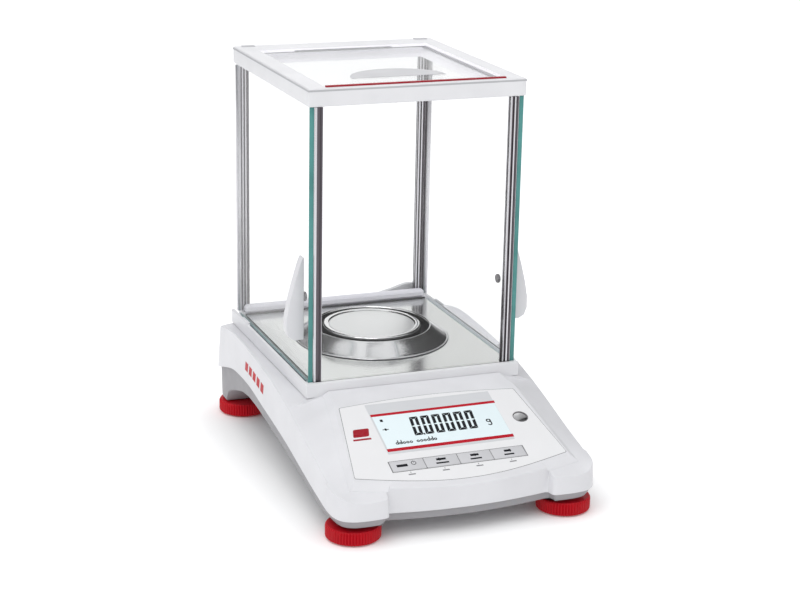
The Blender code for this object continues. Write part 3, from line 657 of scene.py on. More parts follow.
def shell_column(row, normal):
    """Points of one column, from the seat of the panel out and down to the lower edge, and back inside."""
    edge, foot, top, seat, kind = row
    low = hermite(SIDE_LINES, edge[1], 2)

    def inward(distance):
        return off(edge, normal, distance)

    column = [(*inward(inset), low + up) for inset, up in ((1.8, 0.0), (0.6, 0.0), (0.15, 0.35), (0.0, 0.9))]
    if kind == "apron":
        ledge = bezel_top(edge[1])
        for k in range(1, 13):
            column.append((*edge, low + 0.9 + (ledge - 0.95 - low - 0.9) * k / 12))
        for inset, down in ((0.12, 0.45), (0.4, 0.13), (0.9, 0.0)):
            spot = inward(inset)
            column.append((*spot, bezel_top(spot[1]) - down))
        inner_top = inward(6.0)
        under = ledge - 6.5
    else:
        lean = 2.4 if kind == "side" else 0.9
        brow = inward(lean + 0.8)
        crease = deck_height(brow[0], brow[1])
        column.append((*inward(0.1 * lean), low + 1.5))
        column.append((*inward(0.93 * lean), crease - 1.2))
        for inset, down in ((0.0, 0.7), (0.12, 0.3), (0.35, 0.08), (0.8, 0.0)):
            column.append((*inward(lean + inset), crease - down))
        for share in (0.25, 0.5, 0.75, 0.96, 0.99):
            spot = between(brow, foot, share)
            column.append((*spot, deck_height(*spot)))
        base = deck_height(*foot)
        column.append((*foot, base + 0.15))
        rise = bezel_top(top[1]) - base if edge[1] <= TRAY_FRONT else 0.0
        for share, lift in ((0.04, 0.1), (0.5, 0.5), (0.96, 0.97)):
            column.append((*between(foot, top, share), base + rise * lift))
        inner_top = inward(6.5)
        under = min(crease, deck_height(*inner_top)) - SKIN - 1.0
    on_panel = kind == "apron" or edge[1] <= TRAY_FRONT
    top_z, seat_z = (bezel_top(top[1]), bezel_top(seat[1])) if on_panel else (DECK, DECK)
    ceiling = seat_z - SKIN - 1.0
    inside = [(*seat, ceiling), (*between(inner_top, seat, 0.6), min(under, ceiling)), (*inner_top, under),
              (*inward(SKIN), low + 1.2)]
    return inside + column + [(*top, top_z), (*seat, seat_z)]


shell = shell_from("housing_shell", [shell_column(r, n) for r, n in zip(HOUSING, NORMALS)], WHITE)
# Faces of the right shoulder's inner slope, which lie in shade, get the glowing white as painted light
SHOULDER_Y = (25.0, 148.0)
SHOULDER_Z = 68.0
repaint(shell, SHOULDER_PAINTED_LIGHT, lambda c, n: c.x > TRAY_HALF and SHOULDER_Y[0] < c.y < SHOULDER_Y[1]
        and c.z > SHOULDER_Z and n.x < 0.0 and n.z > 0.5)


def band_point(y, share, lift):
    """A point on the left side band, by its share of the way from the lower edge to the crease."""
    low = hermite(SIDE_LINES, y, 2) + 1.5
    crease = hermite(SIDE_LINES, y, 1) - 1.2
    return (-(SIDE - 0.24 - 1.99 * share) - lift, y, low + (crease - low) * share)


side_points = []
side_faces = []
for mark in range(5):
    start = len(side_points)
    front = 19.0 + 10.4 * mark
    for lift in (0.08, -0.6):
        for y, share in ((front, 0.32), (front + 7.2, 0.32), (front + 7.2, 0.6), (front, 0.6)):
            side_points.append(band_point(y, share, lift))
    side_faces += solid_faces(4, start)
done(object_from("side_mark", mesh_of("side_mark", side_points, side_faces), RED), "housing")


ON_SLOPE = Matrix.Translation((0.0, PANEL_Y * MM, PANEL_Z * MM)) @ Matrix.Rotation(TILT, 4, "X")


def on_slope(thing):
    """Put a piece made flat onto the slope of the control panel."""
    thing.data.transform(ON_SLOPE)
    return thing


KEY_X = -0.8  # middle of the key row
KEY_LOW, KEY_HIGH = KEY_X - 54.4, KEY_X + 54.4
KEY_PITCH = 26.6
KEY_V = -48.2
KEY_TALL = 10.5
LEVEL = (64.0, -11.4)
carve(shell, on_slope(block("key_recess", (KEY_LOW, KEY_V - 6.0, -2.0), (KEY_HIGH, KEY_V + 6.0, 4.0), None)))
cup = [(0.0, -2.4), (6.2, -2.4), (6.2, 3.0), (0.0, 3.0)]
carve(shell, on_slope(lathe("level_recess", cup, LEVEL, None, 64)))
done(shell, "housing", ("upper_housing", "display_bezel"), 40.0, True)


EAR_BACK = -118.0  # where the deeper inset under the ears has run out
EAR_RUN = 13.0


def chassis_column(row, normal, index):
    """Points of one column of the chassis, from the floor inside up over the wall and down to the belly."""
    edge, _, _, _, kind = row
    y = edge[1]
    low = hermite(SIDE_LINES, y, 2)
    taper = 1.0 if kind == "ear" else 0.0
    if kind == "side" and y < EAR_BACK:
        taper = (EAR_BACK - y) / EAR_RUN
    first = sum(1 for r in HOUSING if r[4] != "side")
    if index < first:
        inner = (edge[0] * 0.7, -134.0 + 10.0 * index / first)
    else:
        inner = (min(74.0, edge[0] * 0.72), max(-123.0, min(y, 136.0 + 4.0 * index / (len(HOUSING) - 1))))
    floor = straight(BELLY, y)
    wall = 3.0 - taper * 0.9
    drop = min(2.2, (low - floor) * 0.4)
    rim = ((9.0 + taper * 4.0, floor + 2.6), (5.6, low - 0.5), (5.6, low + 5.0), (wall, low + 5.0), (wall, low - 0.4),
           (wall + 0.3 + taper * 0.7, floor + (low - floor) * 0.55), (wall + 0.6 + taper * 1.6, floor + drop),
           (wall + 0.9 + taper * 2.2, floor + drop * 0.35), (wall + 1.8 + taper * 3.4, floor))
    belly = straight(BELLY, inner[1])
    return [(*inner, belly + 2.6), *((*off(edge, normal, inset), z) for inset, z in rim), (*inner, belly)]


chassis = shell_from("chassis", [chassis_column(r, n, k) for k, (r, n) in enumerate(zip(HOUSING, NORMALS))], GREY)
HANGER_RADIUS = 9.0
hanger_hole = [(0.0, 30.0), (HANGER_RADIUS, 30.0), (HANGER_RADIUS, 50.0), (0.0, 50.0)]
carve(chassis, lathe("hanger_hole", hanger_hole, PAN_CENTRE, None, 48))
done(chassis, "housing", ("lower_chassis",), 35.0, True)


# Control panel

def slab(name, outline, low, high, mat, replaced=(), holes=()):
    """A flat piece on the slope, with holes."""
    thing = prism(name, outline, low, high, mat)
    for hole in holes:
        carve(thing, hole)
    return done(on_slope(thing), "housing", replaced, 30.0)


def rectangle(x, v, wide, tall, slant=0.0):
    return [(x - wide / 2 - slant, v - tall / 2), (x + wide / 2 - slant, v - tall / 2),
            (x + wide / 2 + slant, v + tall / 2), (x - wide / 2 + slant, v + tall / 2)]


def overlay_outline(grow=0.0):
    right = [((83.7 + grow) * k / 24, -54.9 - grow - 13.6 * math.cos(k / 24 * math.pi / 2)) for k in range(25)]
    right += [((71.0 + grow) * (1 - k / 12), 20.9 + grow + 4.2 * math.cos((1 - k / 12) * math.pi / 2))
              for k in range(13)]
    return rounded(right + [(-x, y) for x, y in reversed(right) if x > 1e-6], 1.2, 3)


def key_x(place):
    """Middle of a key, 0 to 3 from the left."""
    return KEY_X + (place - 1.5) * KEY_PITCH


def key_hole(grow):
    return block("key_hole", (KEY_LOW + 0.9 - grow, KEY_V - 5.5 - grow, -3.0),
                 (KEY_HIGH - 0.9 + grow, KEY_V + 5.5 + grow, 3.0), None)


def level_hole(radius):
    return lathe("level_hole", [(0.0, -3.0), (radius, -3.0), (radius, 3.0), (0.0, 3.0)], LEVEL, None, 64)


FILM = 0.12
slab("panel_hairline", overlay_outline(0.35), 0.0, FILM - 0.05, HAIRLINE, holes=(key_hole(0.2), level_hole(6.0)))
slab("panel_overlay", overlay_outline(), 0.0, FILM, OVERLAY, replaced=("control_panel",),
     holes=(key_hole(0.0), level_hole(6.0)))
LCD_V = -11.0
LCD_TALL = 36.8
slab("panel_band", rounded(rectangle(-0.6, -6.8, 101.0, 56.0), 0.6, 3), FILM, FILM + 0.02, BAND)
slab("display_glass", rectangle(0.0, LCD_V, 99.4, LCD_TALL), FILM, FILM + 0.05, SCREEN,
     replaced=("display_window", "display_module"))
slab("display_line_upper", rectangle(0.0, LCD_V + LCD_TALL / 2 + 1.1, 101.0, 2.7), FILM, FILM + 0.06, LINE_RED)
slab("display_line_lower", rectangle(0.0, LCD_V - LCD_TALL / 2 - 1.1, 101.0, 3.2), FILM, FILM + 0.06, LINE_RED)


def merged(name, outlines, low, high, mat, body="housing"):
    """Several flat marks in one printed piece."""
    points = []
    faces = []
    for outline in outlines:
        faces += solid_faces(len(outline), len(points))
        points += [(x, y, z) for z in (low, high) for x, y in outline]
    return done(on_slope(object_from(name, mesh_of(name, points, faces), mat)), body)


def digit_zero(x, v, wide, tall, stroke, lean):
    """A slanted zero in six separate segments."""
    def skew(px, pv):
        return (x + px + lean * pv, v + pv)

    gap = 0.2
    a, h = wide / 2, tall / 2
    bars = []
    for s in (1, -1):
        bars.append([skew(-a + gap, s * h), skew(a - gap, s * h), skew(a - stroke, s * (h - stroke)),
                     skew(-a + stroke, s * (h - stroke))])
        for side in (1, -1):
            bars.append([skew(side * a, s * (h - gap)), skew(side * a, s * gap),
                         skew(side * (a - stroke), s * (gap + stroke * 0.3)),
                         skew(side * (a - stroke), s * (h - stroke - gap))])
    return bars


DIGIT_V = LCD_V + 3.1
marks = []
for place in range(6):
    marks += digit_zero(-19.8 + 8.85 * place, DIGIT_V, 6.7, 20.4, 2.45, 0.10)
marks += [rectangle(-16.5, DIGIT_V - 9.5, 1.3, 1.7), rectangle(-44.0, 2.0, 2.2, 2.6),
          rectangle(-44.0, -8.0, 5.0, 0.7), rectangle(-44.0, -8.0, 1.6, 2.4)]


def arc_marks(x, v, radius, stroke, start, end, steps=14):
    """A printed arc, in degrees, as one outline with a hairline gap where a ring closes."""
    turns = [math.radians(start + min(end - start, 357.0) * k / steps) for k in range(steps + 1)]
    return [[(x + r * math.cos(t), v + r * math.sin(t))
             for r, order in ((radius, turns), (radius - stroke, turns[::-1])) for t in order]]


# Two groups of marks that say nothing, in place of the message: 1 has a tall stroke, None is a gap
MESSAGE_V = -24.2
for place, tall in enumerate((1, 1, 0, 0, 0, None, 0, 0, 0, 1, 1, 0)):
    if tall is None:
        continue
    x = -40.4 + 2.75 * place
    marks += arc_marks(x, MESSAGE_V, 1.3, 0.8, 0.0, 360.0, 10)
    if tall:
        marks.append(rectangle(x + 0.95, MESSAGE_V + 1.0, 0.75, 4.4))
merged("display_digits", marks, FILM + 0.04, FILM + 0.08, INK_AND_SHADE)

unit = arc_marks(37.4, -11.4, 1.9, 1.0, 0.0, 360.0)
unit.append(rectangle(38.9, -12.4, 1.0, 4.8))
unit += arc_marks(37.5, -14.9, 1.9, 1.0, 195.0, 360.0)
merged("display_unit", unit, FILM + 0.04, FILM + 0.08, INK_AND_SHADE)

badge = [rounded(rectangle(-63.6, -8.6, 12.4, 8.6, 1.2), 1.6, 4), rectangle(-64.9, -15.6, 14.0, 1.8)]
merged("panel_badge", badge, FILM, FILM + 0.05, RED_TRIM)

frame_marks = []
for v in (KEY_V - KEY_TALL / 2 - 0.55, KEY_V + KEY_TALL / 2 + 0.55):
    frame_marks.append(rectangle(KEY_X, v, 107.4, 0.4))
for x in (KEY_X - 53.5, KEY_X + 53.5):
    frame_marks.append(rectangle(x, KEY_V, 0.4, KEY_TALL + 1.5))
for place in range(4):
    x = key_x(place)
    frame_marks += [rectangle(x, KEY_V - 9.6, 5.4, 1.1), rectangle(x - 0.4, KEY_V - 7.6, 0.5, 1.4)]
merged("key_row_print", frame_marks, FILM - 0.02, FILM + 0.03, HAIRLINE)

for place in range(4):
    body = f"key_{place + 1}"
    x = key_x(place)
    key = prism(f"key_cap_{place + 1}", rounded(rectangle(x, KEY_V, 26.1, KEY_TALL), 0.6, 3), -1.2, FILM + 0.22, KEY)
    done(on_slope(bevel(key, 0.2, 2)), body, (body,))
    if place == 0:
        icon = arc_marks(x + 5.0, KEY_V + 1.6, 2.0, 0.5, 110.0, 430.0)
        icon += [rectangle(x + 5.0, KEY_V + 3.0, 0.5, 2.0), rectangle(x - 4.4, KEY_V + 0.2, 8.4, 2.6)]
    else:
        icon = [rectangle(x, KEY_V + 2.0, 8.6 - place, 2.2), rectangle(x, KEY_V - 1.9, 11.0 - place, 1.5),
                rectangle(x + place * 1.6 - 3.0, KEY_V + 2.0, 0.7, 3.2)]
    merged(f"key_icon_{place + 1}", icon, FILM + 0.2, FILM + 0.25, INK_AND_SHADE, body)
    if place:
        separator = [rectangle(x - 13.3, KEY_V, 0.3, KEY_TALL)]
        merged(f"key_separator_{place}", separator, -1.0, FILM + 0.1, HAIRLINE)

level = lathe("level_well", [(0.0, -2.3), (5.0, -2.3), (5.7, -1.6), (5.95, FILM - 0.1), (5.95, FILM + 0.12),
                             (5.6, FILM + 0.12), (5.4, -1.2), (4.5, -1.9), (0.0, -1.9)], LEVEL, CAP_GREY, 64)
done(on_slope(level), "housing", ("level_cup",))


def vial_material():
    """Level window: light above and dark below, painted shade and reflection of its glass dome."""
    mat, tree, shader = new_material("level_vial")
    place = coordinates(tree)
    uphill = Vector((-0.28, 0.9 * math.cos(TILT), 0.9 * math.sin(TILT)))
    middle = (ON_SLOPE @ Vector((LEVEL[0] * MM, LEVEL[1] * MM, 0.0))).dot(uphill)
    height = math_node(tree, "VectorMath", "DOT_PRODUCT", place, uphill, result="Value")
    share = spread(tree, height, 0.0, 1.0, middle - 5.4 * MM, middle + 5.4 * MM)
    ramp = tree.nodes.new("ShaderNodeValToRGB")
    for position, value in ((0.0, 0.30), (0.1, 0.05), (0.24, 0.03), (0.36, 0.30), (0.7, 0.46), (1.0, 0.62)):
        stop = ramp.color_ramp.elements.new(position)
        stop.color = (value, value, value * 1.02, 1.0)
    ramp.color_ramp.elements.remove(ramp.color_ramp.elements[0])
    ramp.color_ramp.elements.remove(ramp.color_ramp.elements[-1])
    tree.links.new(share, ramp.inputs["Fac"])
    tree.links.new(ramp.outputs["Color"], shader.inputs["Base Color"])
    tree.links.new(spread(tree, noise(tree, place, 200.0), 0.08, 0.16), shader.inputs["Roughness"])
    preset(shader, Coat_Weight=0.6)
    return mat


vial = [(0.0, -1.95), (4.4, -1.95), (5.35, -1.1), (5.35, -0.75), (3.6, -0.3), (1.8, -0.08), (0.0, 0.0)]
done(on_slope(lathe("level_vial", vial, LEVEL, vial_material(), 64)), "housing",
     ("level_glass",), 50.0)


# Draft shield

refined("shield_tray", "shield_base", SHIELD_WHITE, 1.1)
# The walls of the tray's door grooves, which lie in shade, get the glowing white as painted light
GROOVE_WALL = (85.0, 87.0)
repaint(bpy.data.objects["shield_tray"], FRAME_INNER_PAINTED_LIGHT,
        lambda c, n: GROOVE_WALL[0] < abs(c.x) < GROOVE_WALL[1] and c.x * n.x < 0.0 and abs(n.x) > 0.9)
refined("chamber_floor", "floor_plate", PLATE, 0.25, 2)
refined("rear_panel_bar", "rear_bar", BAR_WHITE, 1.6)
low, high = span("rear_ledge")
wing = [(low.x - 6.0, low.z), (high.x, low.z), (high.x, high.z + 0.6), (high.x - 12.0, high.z + 1.2),
        (high.x - 22.0, high.z - 2.2), (low.x - 6.0, low.z + 1.6)]
wing = prism("rear_panel_ledge", rounded(wing, 5.0), low.y, high.y, SHIELD_WHITE, "Y")
done(bevel(wing, 0.8), "housing", ("rear_ledge",), 40.0, True)
refined("shield_top_frame", "top_frame", SHIELD_WHITE, 0.9)
low, high = span("top_frame")
# The shaded inner walls of the top frame get the glowing white as painted light
repaint(bpy.data.objects["shield_top_frame"], FRAME_INNER_PAINTED_LIGHT, lambda c, n: inside(c, low, high, 3.0) and abs(n.z) < 0.5)
for side, start in (("left", low.x + 6.0), ("right", high.x - 17.0)):
    trim(f"frame_tab_{side}", (start, high.y - 7.0, high.z - 0.2), (start + 11.0, high.y - 2.0, high.z + 0.7),
         LIGHT_GREY, 0.4, "housing")
for name in ("front_glass", "rear_glass", "top_door_glass", "left_door_glass", "right_door_glass"):
    refined(name + "_pane", name, GLASS, 0.3, 1, clear=True)
low, high = span("top_door_trim")
strip = block("top_door_strip", low, (high.x, high.y, high.z + 1.1), RED_TRIM)
done(bevel(strip, 0.4), "top_door", ("top_door_trim",))
refined("top_door_label", "top_door_grip", LIGHT_GREY, 0.15, 2)
for side in ("left", "right"):
    refined(f"{side}_handle", f"{side}_door_handle", WHITE, 2.6, 5)
    refined(f"{side}_cap", f"{side}_door_cap", CAP_GREY, 0.8, 4)

DOOR_FOOT_TOP = 84.2
for side in ("left", "right"):
    low, high = span(f"{side}_door_glass")
    trim(f"{side}_door_edge", (low.x - 0.02, low.y - 0.15, low.z + 0.3), (high.x + 0.02, low.y + 0.5, high.z - 0.3),
         EDGE, 0.2, f"{side}_door")
    middle = (low.x + high.x) / 2
    for part, level in (("top", high.z - 0.95), ("bottom", low.z + 0.15)):
        trim(f"{side}_door_{part}_edge", (low.x + 0.12, low.y + 0.6, level), (high.x - 0.12, high.y - 0.1, level + 0.8),
             EDGE, 0.15, f"{side}_door")
    if side == "left":
        trim("left_door_foot", (middle - 0.45, low.y + 1.0, low.z + 1.1), (middle + 0.45, high.y - 0.5, DOOR_FOOT_TOP),
             FOOT_EDGE, 0.2, "left_door")


# Where ribs and grooves end across a face of a post, as shares of its width
PAIR = (0.0, 0.1, 0.42, 0.62, 0.96, 1.0)
SINGLE = (0.0, 0.24, 0.96, 1.0)
SLOT = (0.0, 0.1, 0.62, 1.0)
POST_GROOVE = 1.4


def post_section(low, high, front, sides):
    """Outline, as (x, y), of an extruded post, with the grooves of its front and of its sides."""
    wide, deep = high.x - low.x, high.y - low.y
    outline = []

    def face(start, along, inward, length, across):
        for k in range(len(across) - 1):
            a, b = across[k] * length, across[k + 1] * length
            steps = ((a, 0.0), (a, POST_GROOVE), (b, POST_GROOVE)) if k % 2 else ((a, 0.0),)
            outline.extend(tuple(Vector(start) + Vector(along) * s + Vector(inward) * d) for s, d in steps)

    face((low.x, low.y), (1, 0), (0, 1), wide, front)
    face((high.x, low.y), (0, 1), (-1, 0), deep, sides)
    face((high.x, high.y), (-1, 0), (0, -1), wide, PAIR)
    face((low.x, high.y), (0, -1), (1, 0), deep, sides)
    return outline


for end in ("front", "rear"):
    for side in ("left", "right"):
        cad_name = f"post_{end}_{side}"
        low, high = span(cad_name)
        sides = SLOT if end == "front" else PAIR
        outline = post_section(low, high, SINGLE if (end, side) == ("front", "left") else PAIR, sides)
        post = prism(f"post_{end}_{side}_profile", outline, low.z, high.z, PROFILE)
        # The groove faces get the dark metal as painted shade
        repaint(post, GROOVE, lambda c, n: abs(n.z) < 0.5 and inside(c, low, high, 0.5))
        done(post, "housing", (cad_name,))

STOP_Y = (113.5, 129.5)
base_high = span("shield_base")[1]
for side, sign in (("left", -1), ("right", 1)):
    low, high = span(f"{side}_door_glass")
    outer = max(abs(low.x), abs(high.x)) + 0.35
    start, end = flank(sign, outer, outer + 0.9)
    trim(f"track_seal_{side}", (start, low.y + 3.0, base_high.z - 0.6), (end, STOP_Y[0] - 1.5, base_high.z + 0.12),
         DARK, 0.15, "housing")
    start, end = flank(sign, outer, outer + 2.2)
    trim(f"track_stop_{side}", (start, STOP_Y[0], base_high.z - 0.8), (end, STOP_Y[1], base_high.z + 1.8),
         WHITE, 0.6, "housing", 3)


plate_low, plate_high = span("floor_plate")
bar_low, bar_high = span("rear_bar")
SEALS = (
    ("plate_seal_front", (plate_low.x, plate_low.y - 0.5, plate_high.z - 0.4),
     (plate_high.x, plate_low.y + 0.15, plate_high.z + 0.1)),
    ("plate_seal_rear", (plate_low.x, plate_high.y - 0.3, plate_high.z - 0.4),
     (plate_high.x, bar_low.y + 0.1, plate_high.z + 0.75)),
    ("plate_seal_left", (plate_low.x - 0.35, plate_low.y, plate_high.z - 0.4),
     (plate_low.x + 0.25, plate_high.y, plate_high.z + 0.08)),
)
for name, start, stop in SEALS:
    trim(name, start, stop, DARK, 0.1, "housing")

frame_low, frame_high = span("top_frame")
lid_low, lid_high = span("top_door_glass")
# A grey band round the top frame's upper edge, painted shade in place of a darker chamfer
band = block("top_frame_band", (frame_low.x - 0.05, frame_low.y - 0.05, frame_high.z - 2.3),
             (frame_high.x + 0.05, frame_high.y + 0.05, frame_high.z - 1.0), FRAME_EDGE_SHADE)
carve(band, block("band_core", (frame_low.x + 0.6, frame_low.y + 0.6, frame_high.z - 4.0),
                  (frame_high.x - 0.6, frame_high.y - 0.6, frame_high.z + 2.0), None))
done(band, "housing")
gasket = block("top_gasket", (lid_high.x + 0.1, lid_low.y, lid_high.z - 0.3),
               (lid_high.x + 0.6, lid_high.y, lid_high.z + 0.5), DARK)
done(gasket, "housing")

for side, sign in (("left", -1), ("right", 1)):
    low, high = span(f"{side}_door_glass")
    inner, outer = min(abs(low.x), abs(high.x)) - 0.35, max(abs(low.x), abs(high.x)) + 0.7
    for part, near, far, mat, slot in (("profile", inner + 1.0, outer, PROFILE, "aluminium_profile"),
                                       ("lip", inner, inner + 0.95, GROOVE, "dark_plastic")):
        start, end = flank(sign, near, far)
        trim(f"{side}_door_rear_{part}", (start, high.y + 0.1, plate_high.z + 1.6),
             (end, high.y + 3.4, frame_low.z - 0.8), mat, 0.3, f"{side}_door")


# Pan and ring

PAN_TOP = PAN_HIGH.z
PAN_RADIUS = (PAN_HIGH.x - PAN_LOW.x) / 2
ROLL_OUTER = PAN_RADIUS + 0.2
# Profiles as radius and depth below the top of the rim
depth = PAN_TOP - PAN_LOW.z
rim = [
    (34.9, 0.75), (35.2, 0.6), (35.9, 0.12), (36.9, 0.0), (38.2, 0.02), (39.2, 0.3), (39.8, 0.8), (40.1, 1.6),
    (ROLL_OUTER, 2.6), (ROLL_OUTER, 6.0), (ROLL_OUTER - 0.3, depth), (ROLL_OUTER - 1.2, depth),
    (ROLL_OUTER - 1.0, 3.4), (38.9, 2.0), (37.8, 1.5), (36.2, 1.5), (34.9, 1.6),
]
disc = [(0.0, 0.72), (33.8, 0.72), (34.4, 0.8), (35.1, 1.0), (35.1, 1.5), (0.0, 1.5)]
rim, disc = ([(radius, PAN_TOP - down) for radius, down in profile] for profile in (rim, disc))
pan_rim = lathe("pan_rim", rim, PAN_CENTRE, RIM, 160)
# The lower faces of the rim get the dark metal as painted shade
repaint(pan_rim, RIM_SIDE_SHADE, lambda c, n: c.z < PAN_TOP - 0.95)
done(pan_rim, "pan", ("weighing_pan",), 50.0)
done(lathe("pan_disc", disc, PAN_CENTRE, DISC, 160), "pan", (), 40.0)

# Painted shade: a flat black ring on the plate round the pan support, in place of the dark opening seen between the pan
# and the wind ring
WELL_IN, WELL_OUT = 33.0, 57.0
well = [(r, plate_high.z + up) for r, up in ((WELL_IN, 0.1), (WELL_OUT, 0.1), (WELL_OUT, 0.6), (WELL_IN, 0.6))]
done(lathe("pan_gap_painted_shade", well, PAN_CENTRE, INK_AND_SHADE, 96), "housing")

ring_low, ring_high = span("wind_ring")
ring_outer = (ring_high.x - ring_low.x) / 2
top_z, base_z = ring_high.z, ring_low.z
wall = [
    (46.6, top_z - 1.1), (46.9, top_z - 0.35), (47.4, top_z), (48.0, top_z - 0.05), (48.6, top_z - 0.45),
    (52.6, top_z - 3.4), (57.0, top_z - 6.6), (60.0, top_z - 8.7), (60.8, base_z + 0.95), (61.6, base_z + 0.75),
    (ring_outer - 0.15, base_z + 0.6), (ring_outer, base_z + 0.35), (ring_outer - 0.1, base_z),
    (60.4, base_z), (59.4, base_z + 0.5), (52.0, top_z - 4.2), (47.6, top_z - 1.4),
]
done(lathe("wind_ring_skirt", wall, PAN_CENTRE, RING, 160), "ring", ("wind_ring",), 40.0)

# Painted shade: a thin dark ring under the flange of the wind ring, in place of the shadow where it meets the tray
seat = [(61.6, base_z - 0.15), (ring_outer + 0.35, base_z - 0.15), (ring_outer + 0.35, base_z + 0.2),
        (61.6, base_z + 0.2)]
done(lathe("wind_ring_painted_shade", seat, PAN_CENTRE, DARK, 160), "ring")


# Levelling feet

def ribbed_wheel(name, cad_name):
    low, high = span(cad_name)
    centre = middle_of(low, high)
    radius = (high.x - low.x) / 2
    ribs, per_rib = 56, 6
    sides = ribs * per_rib
    profile = [(4.3, high.z), (radius - 3.4, high.z), (radius - 1.3, high.z - 0.15), (radius - 0.4, high.z - 0.9),
               (radius, high.z - 1.9), (radius, low.z + 1.4), (radius - 0.3, low.z + 0.5), (radius - 1.1, low.z),
               (16.4, low.z), (16.3, low.z + 2.2), (4.3, low.z + 2.2)]
    depth = [0.0, 0.0, 0.1, 0.7, 1.0, 1.0, 0.7, 0.2, 0.0, 0.0, 0.0]
    points = []
    for k in range(sides):
        turn = 2 * math.pi * k / sides
        wave = 0.5 - 0.5 * math.cos(2 * math.pi * (k % per_rib) / per_rib)
        for (r, z), d in zip(profile, depth):
            r -= 1.0 * d * (1 - wave) ** 1.5
            points.append((centre[0] + r * math.cos(turn), centre[1] + r * math.sin(turn), z))
    wheel = object_from(name, mesh_of(name, points, turned_faces(sides, len(profile))), RED)
    return done(wheel, NODE_BODY[cad_name], (cad_name,), 34.0)


THREAD_PITCH = 1.25


def threaded(name, cad_name):
    """A stud with a turned thread."""
    low, high = span(cad_name)
    radius = (high.x - low.x) / 2
    profile = [(0.0, low.z), (radius, low.z)]
    z = low.z + 8.5
    while z < high.z - 1.4:
        profile += [(radius, z), (radius - 0.55, z + 0.55), (radius - 0.55, z + 0.7)]
        z += THREAD_PITCH
    profile += [(radius, z), (radius - 0.8, high.z), (0.0, high.z)]
    stud = lathe(name, profile, middle_of(low, high), STEEL, 40)
    return done(stud, NODE_BODY[cad_name], (cad_name,))


for foot in ("front_left", "front_right", "rear_left", "rear_right"):
    ribbed_wheel(f"foot_{foot}_wheel", f"foot_wheel_{foot}")
    threaded(f"foot_{foot}_stud", f"foot_stud_{foot}")
    refined(f"foot_{foot}_pad", f"foot_pad_{foot}", RUBBER, 0.6)

for name in ("power_inlet", "serial_port", "usb_port"):
    refined(f"{name}_socket", name, DARK, 0.4, 2)
refined("hook_cover_plate", "hook_cover", GREY, 0.5, 2)


# Stage

def stage_material(name, colour, glow=0.0):
    mat, tree, shader = new_material(name)
    place = coordinates(tree)
    tree.links.new(tinted(tree, noise(tree, place, 3.0), colour, colour), shader.inputs["Base Color"])
    preset(shader, Roughness=0.9, Specular_IOR_Level=0.1, Emission_Color=(1.0, 1.0, 1.0, 1.0), Emission_Strength=glow)
    return mat


def floor_material():
    """Pale floor that lightens away from the balance: its glow is painted light, none next to the balance so that the
    shade there deepens, and a faint fixed fill for all rays but the camera's.
    """
    mat = stage_material("floor", (0.97, 0.97, 0.97))
    tree = mat.node_tree
    reach = math_node(tree, "VectorMath", "ABSOLUTE", coordinates(tree))
    reach = math_node(tree, "VectorMath", "SUBTRACT", reach, (0.085, 0.12, 0.0))
    reach = math_node(tree, "VectorMath", "MAXIMUM", reach, (0.0, 0.0, 0.0))
    away = math_node(tree, "VectorMath", "LENGTH", reach, result="Value")
    # Painted shade round the balance: no glow next to it, rising to a white floor further out
    lift = spread(tree, away, 0.0, 0.36, 0.010, 0.09)
    ray = tree.nodes.new("ShaderNodeLightPath")
    pick = tree.nodes.new("ShaderNodeMix")
    # Rays other than the camera's see a faint fixed glow, painted light that fills the underside
    preset(pick, A=0.13)
    tree.links.new(ray.outputs["Is Camera Ray"], pick.inputs["Factor"])
    tree.links.new(lift, pick.inputs["B"])
    tree.links.new(pick.outputs["Result"], tree.nodes["Principled BSDF"].inputs["Emission Strength"])
    return mat


def sheet_corners(half_x, half_y):
    return [(-half_x, -half_y, 0), (half_x, -half_y, 0), (half_x, half_y, 0), (-half_x, half_y, 0)]


FLOOR_HALF = 6000
floor = mesh_of("floor", sheet_corners(FLOOR_HALF, FLOOR_HALF), [(0, 1, 2, 3)])
object_from("floor", floor, floor_material())

world = bpy.data.worlds.new("studio")
bpy.context.scene.world = world
world.use_nodes = True
sky = world.node_tree
direction = sky.nodes.new("ShaderNodeTexCoord").outputs["Generated"]
slant = math_node(sky, "VectorMath", "DOT_PRODUCT", direction, (-0.10, -0.02, 0.66), result="Value")
background = sky.nodes["Background"]
preset(background, Color=(0.985, 0.99, 1.0, 1.0))
sky.links.new(math_node(sky, "Math", "ADD", slant, 0.38), background.inputs["Strength"])
seen = sky.nodes.new("ShaderNodeBackground")
preset(seen, Color=(1.0, 1.0, 1.0, 1.0), Strength=1.05)
ray = sky.nodes.new("ShaderNodeLightPath")
shown = mixed(sky, ray.outputs["Is Camera Ray"], background.outputs[0], seen.outputs[0])
sky.links.new(shown, sky.nodes["World Output"].inputs["Surface"])


def aimed(thing, place, target, axis):
    thing.location = place
    thing.rotation_euler = (Vector(target) - Vector(place)).to_track_quat(axis, "Y").to_euler()
    return thing


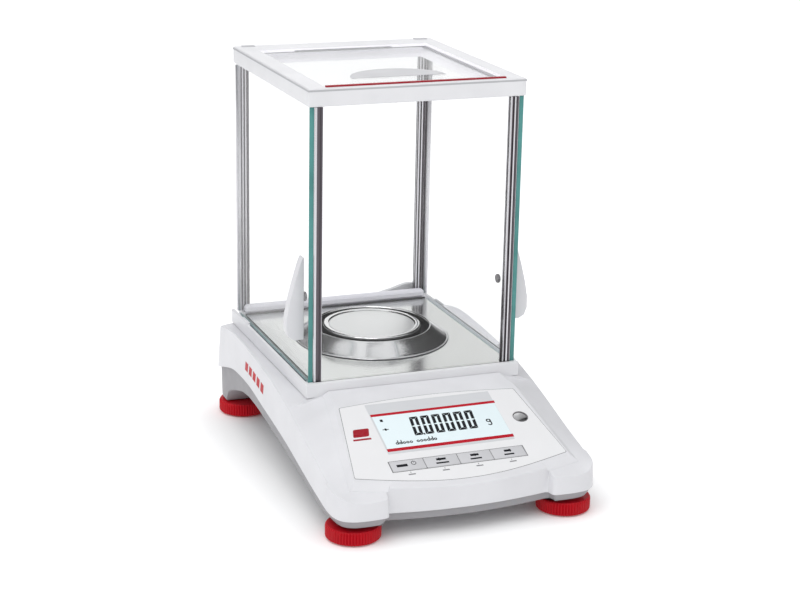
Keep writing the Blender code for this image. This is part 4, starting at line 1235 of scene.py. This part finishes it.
lamp = bpy.data.lights.new("key_light", "AREA")
lamp.shape = "RECTANGLE"
lamp.size = lamp.size_y = 1.6
lamp.energy = 15.0
aimed(object_from("key_light", lamp), (-0.75, -0.85, 2.1), (0.0, 0.0, 0.1), "-Z")


def card(name, place, target, size, colour, glow=0.0):
    """A card that only metal and glass mirror."""
    mesh = bpy.data.meshes.new(name)
    mesh.from_pydata(sheet_corners(size[0] / 2, size[1] / 2), [], [(0, 1, 2, 3)])
    made = aimed(object_from(name, mesh, stage_material(name, colour, glow)), place, target, "Z")
    made.visible_camera = made.visible_diffuse = made.visible_shadow = made.visible_transmission = False


AZIMUTH, ELEVATION, ROLL = (math.radians(a) for a in (-21.439, 17.084, 1.155))


def beyond(to_right, behind, height):
    """A place by the camera's right and the level direction it looks in, from the middle of the balance."""
    return (to_right * math.cos(AZIMUTH) - behind * math.sin(AZIMUTH),
            to_right * math.sin(AZIMUTH) + behind * math.cos(AZIMUTH), height)


CARD_PLACE = (1.1, 0.96)  # how far behind, and how high
for side, sign in (("left", -1), ("right", 1)):
    card(f"card_{side}", beyond(sign * 0.46, *CARD_PLACE), beyond(0.0, *CARD_PLACE), (1.8, 1.46), (0.02, 0.02, 0.02))
card("card_behind", beyond(0.0, 2.1, 0.75), beyond(0.0, 0.0, 0.1), (0.95, 1.3), (0.9, 0.9, 0.9), 0.17)

lens = bpy.data.cameras.new("camera")
lens.sensor_width = 36.0
lens.lens = 84.918
camera = object_from("camera", lens)
back = Vector((math.sin(AZIMUTH) * math.cos(ELEVATION), -math.cos(AZIMUTH) * math.cos(ELEVATION),
               math.sin(ELEVATION)))
right = Vector((math.cos(AZIMUTH), math.sin(AZIMUTH), 0.0))
up = back.cross(right)
turned_right = right * math.cos(ROLL) + up * math.sin(ROLL)
turned_up = up * math.cos(ROLL) - right * math.sin(ROLL)
axes = Matrix((turned_right, turned_up, back)).transposed()
CAMERA_PLACE = (-0.5134, -1.31412, 0.56451)
camera.matrix_world = Matrix.Translation(CAMERA_PLACE) @ axes.to_4x4()
bpy.context.scene.camera = camera
bpy.context.scene.view_settings.view_transform = "Standard"

bpy.context.view_layer.update()
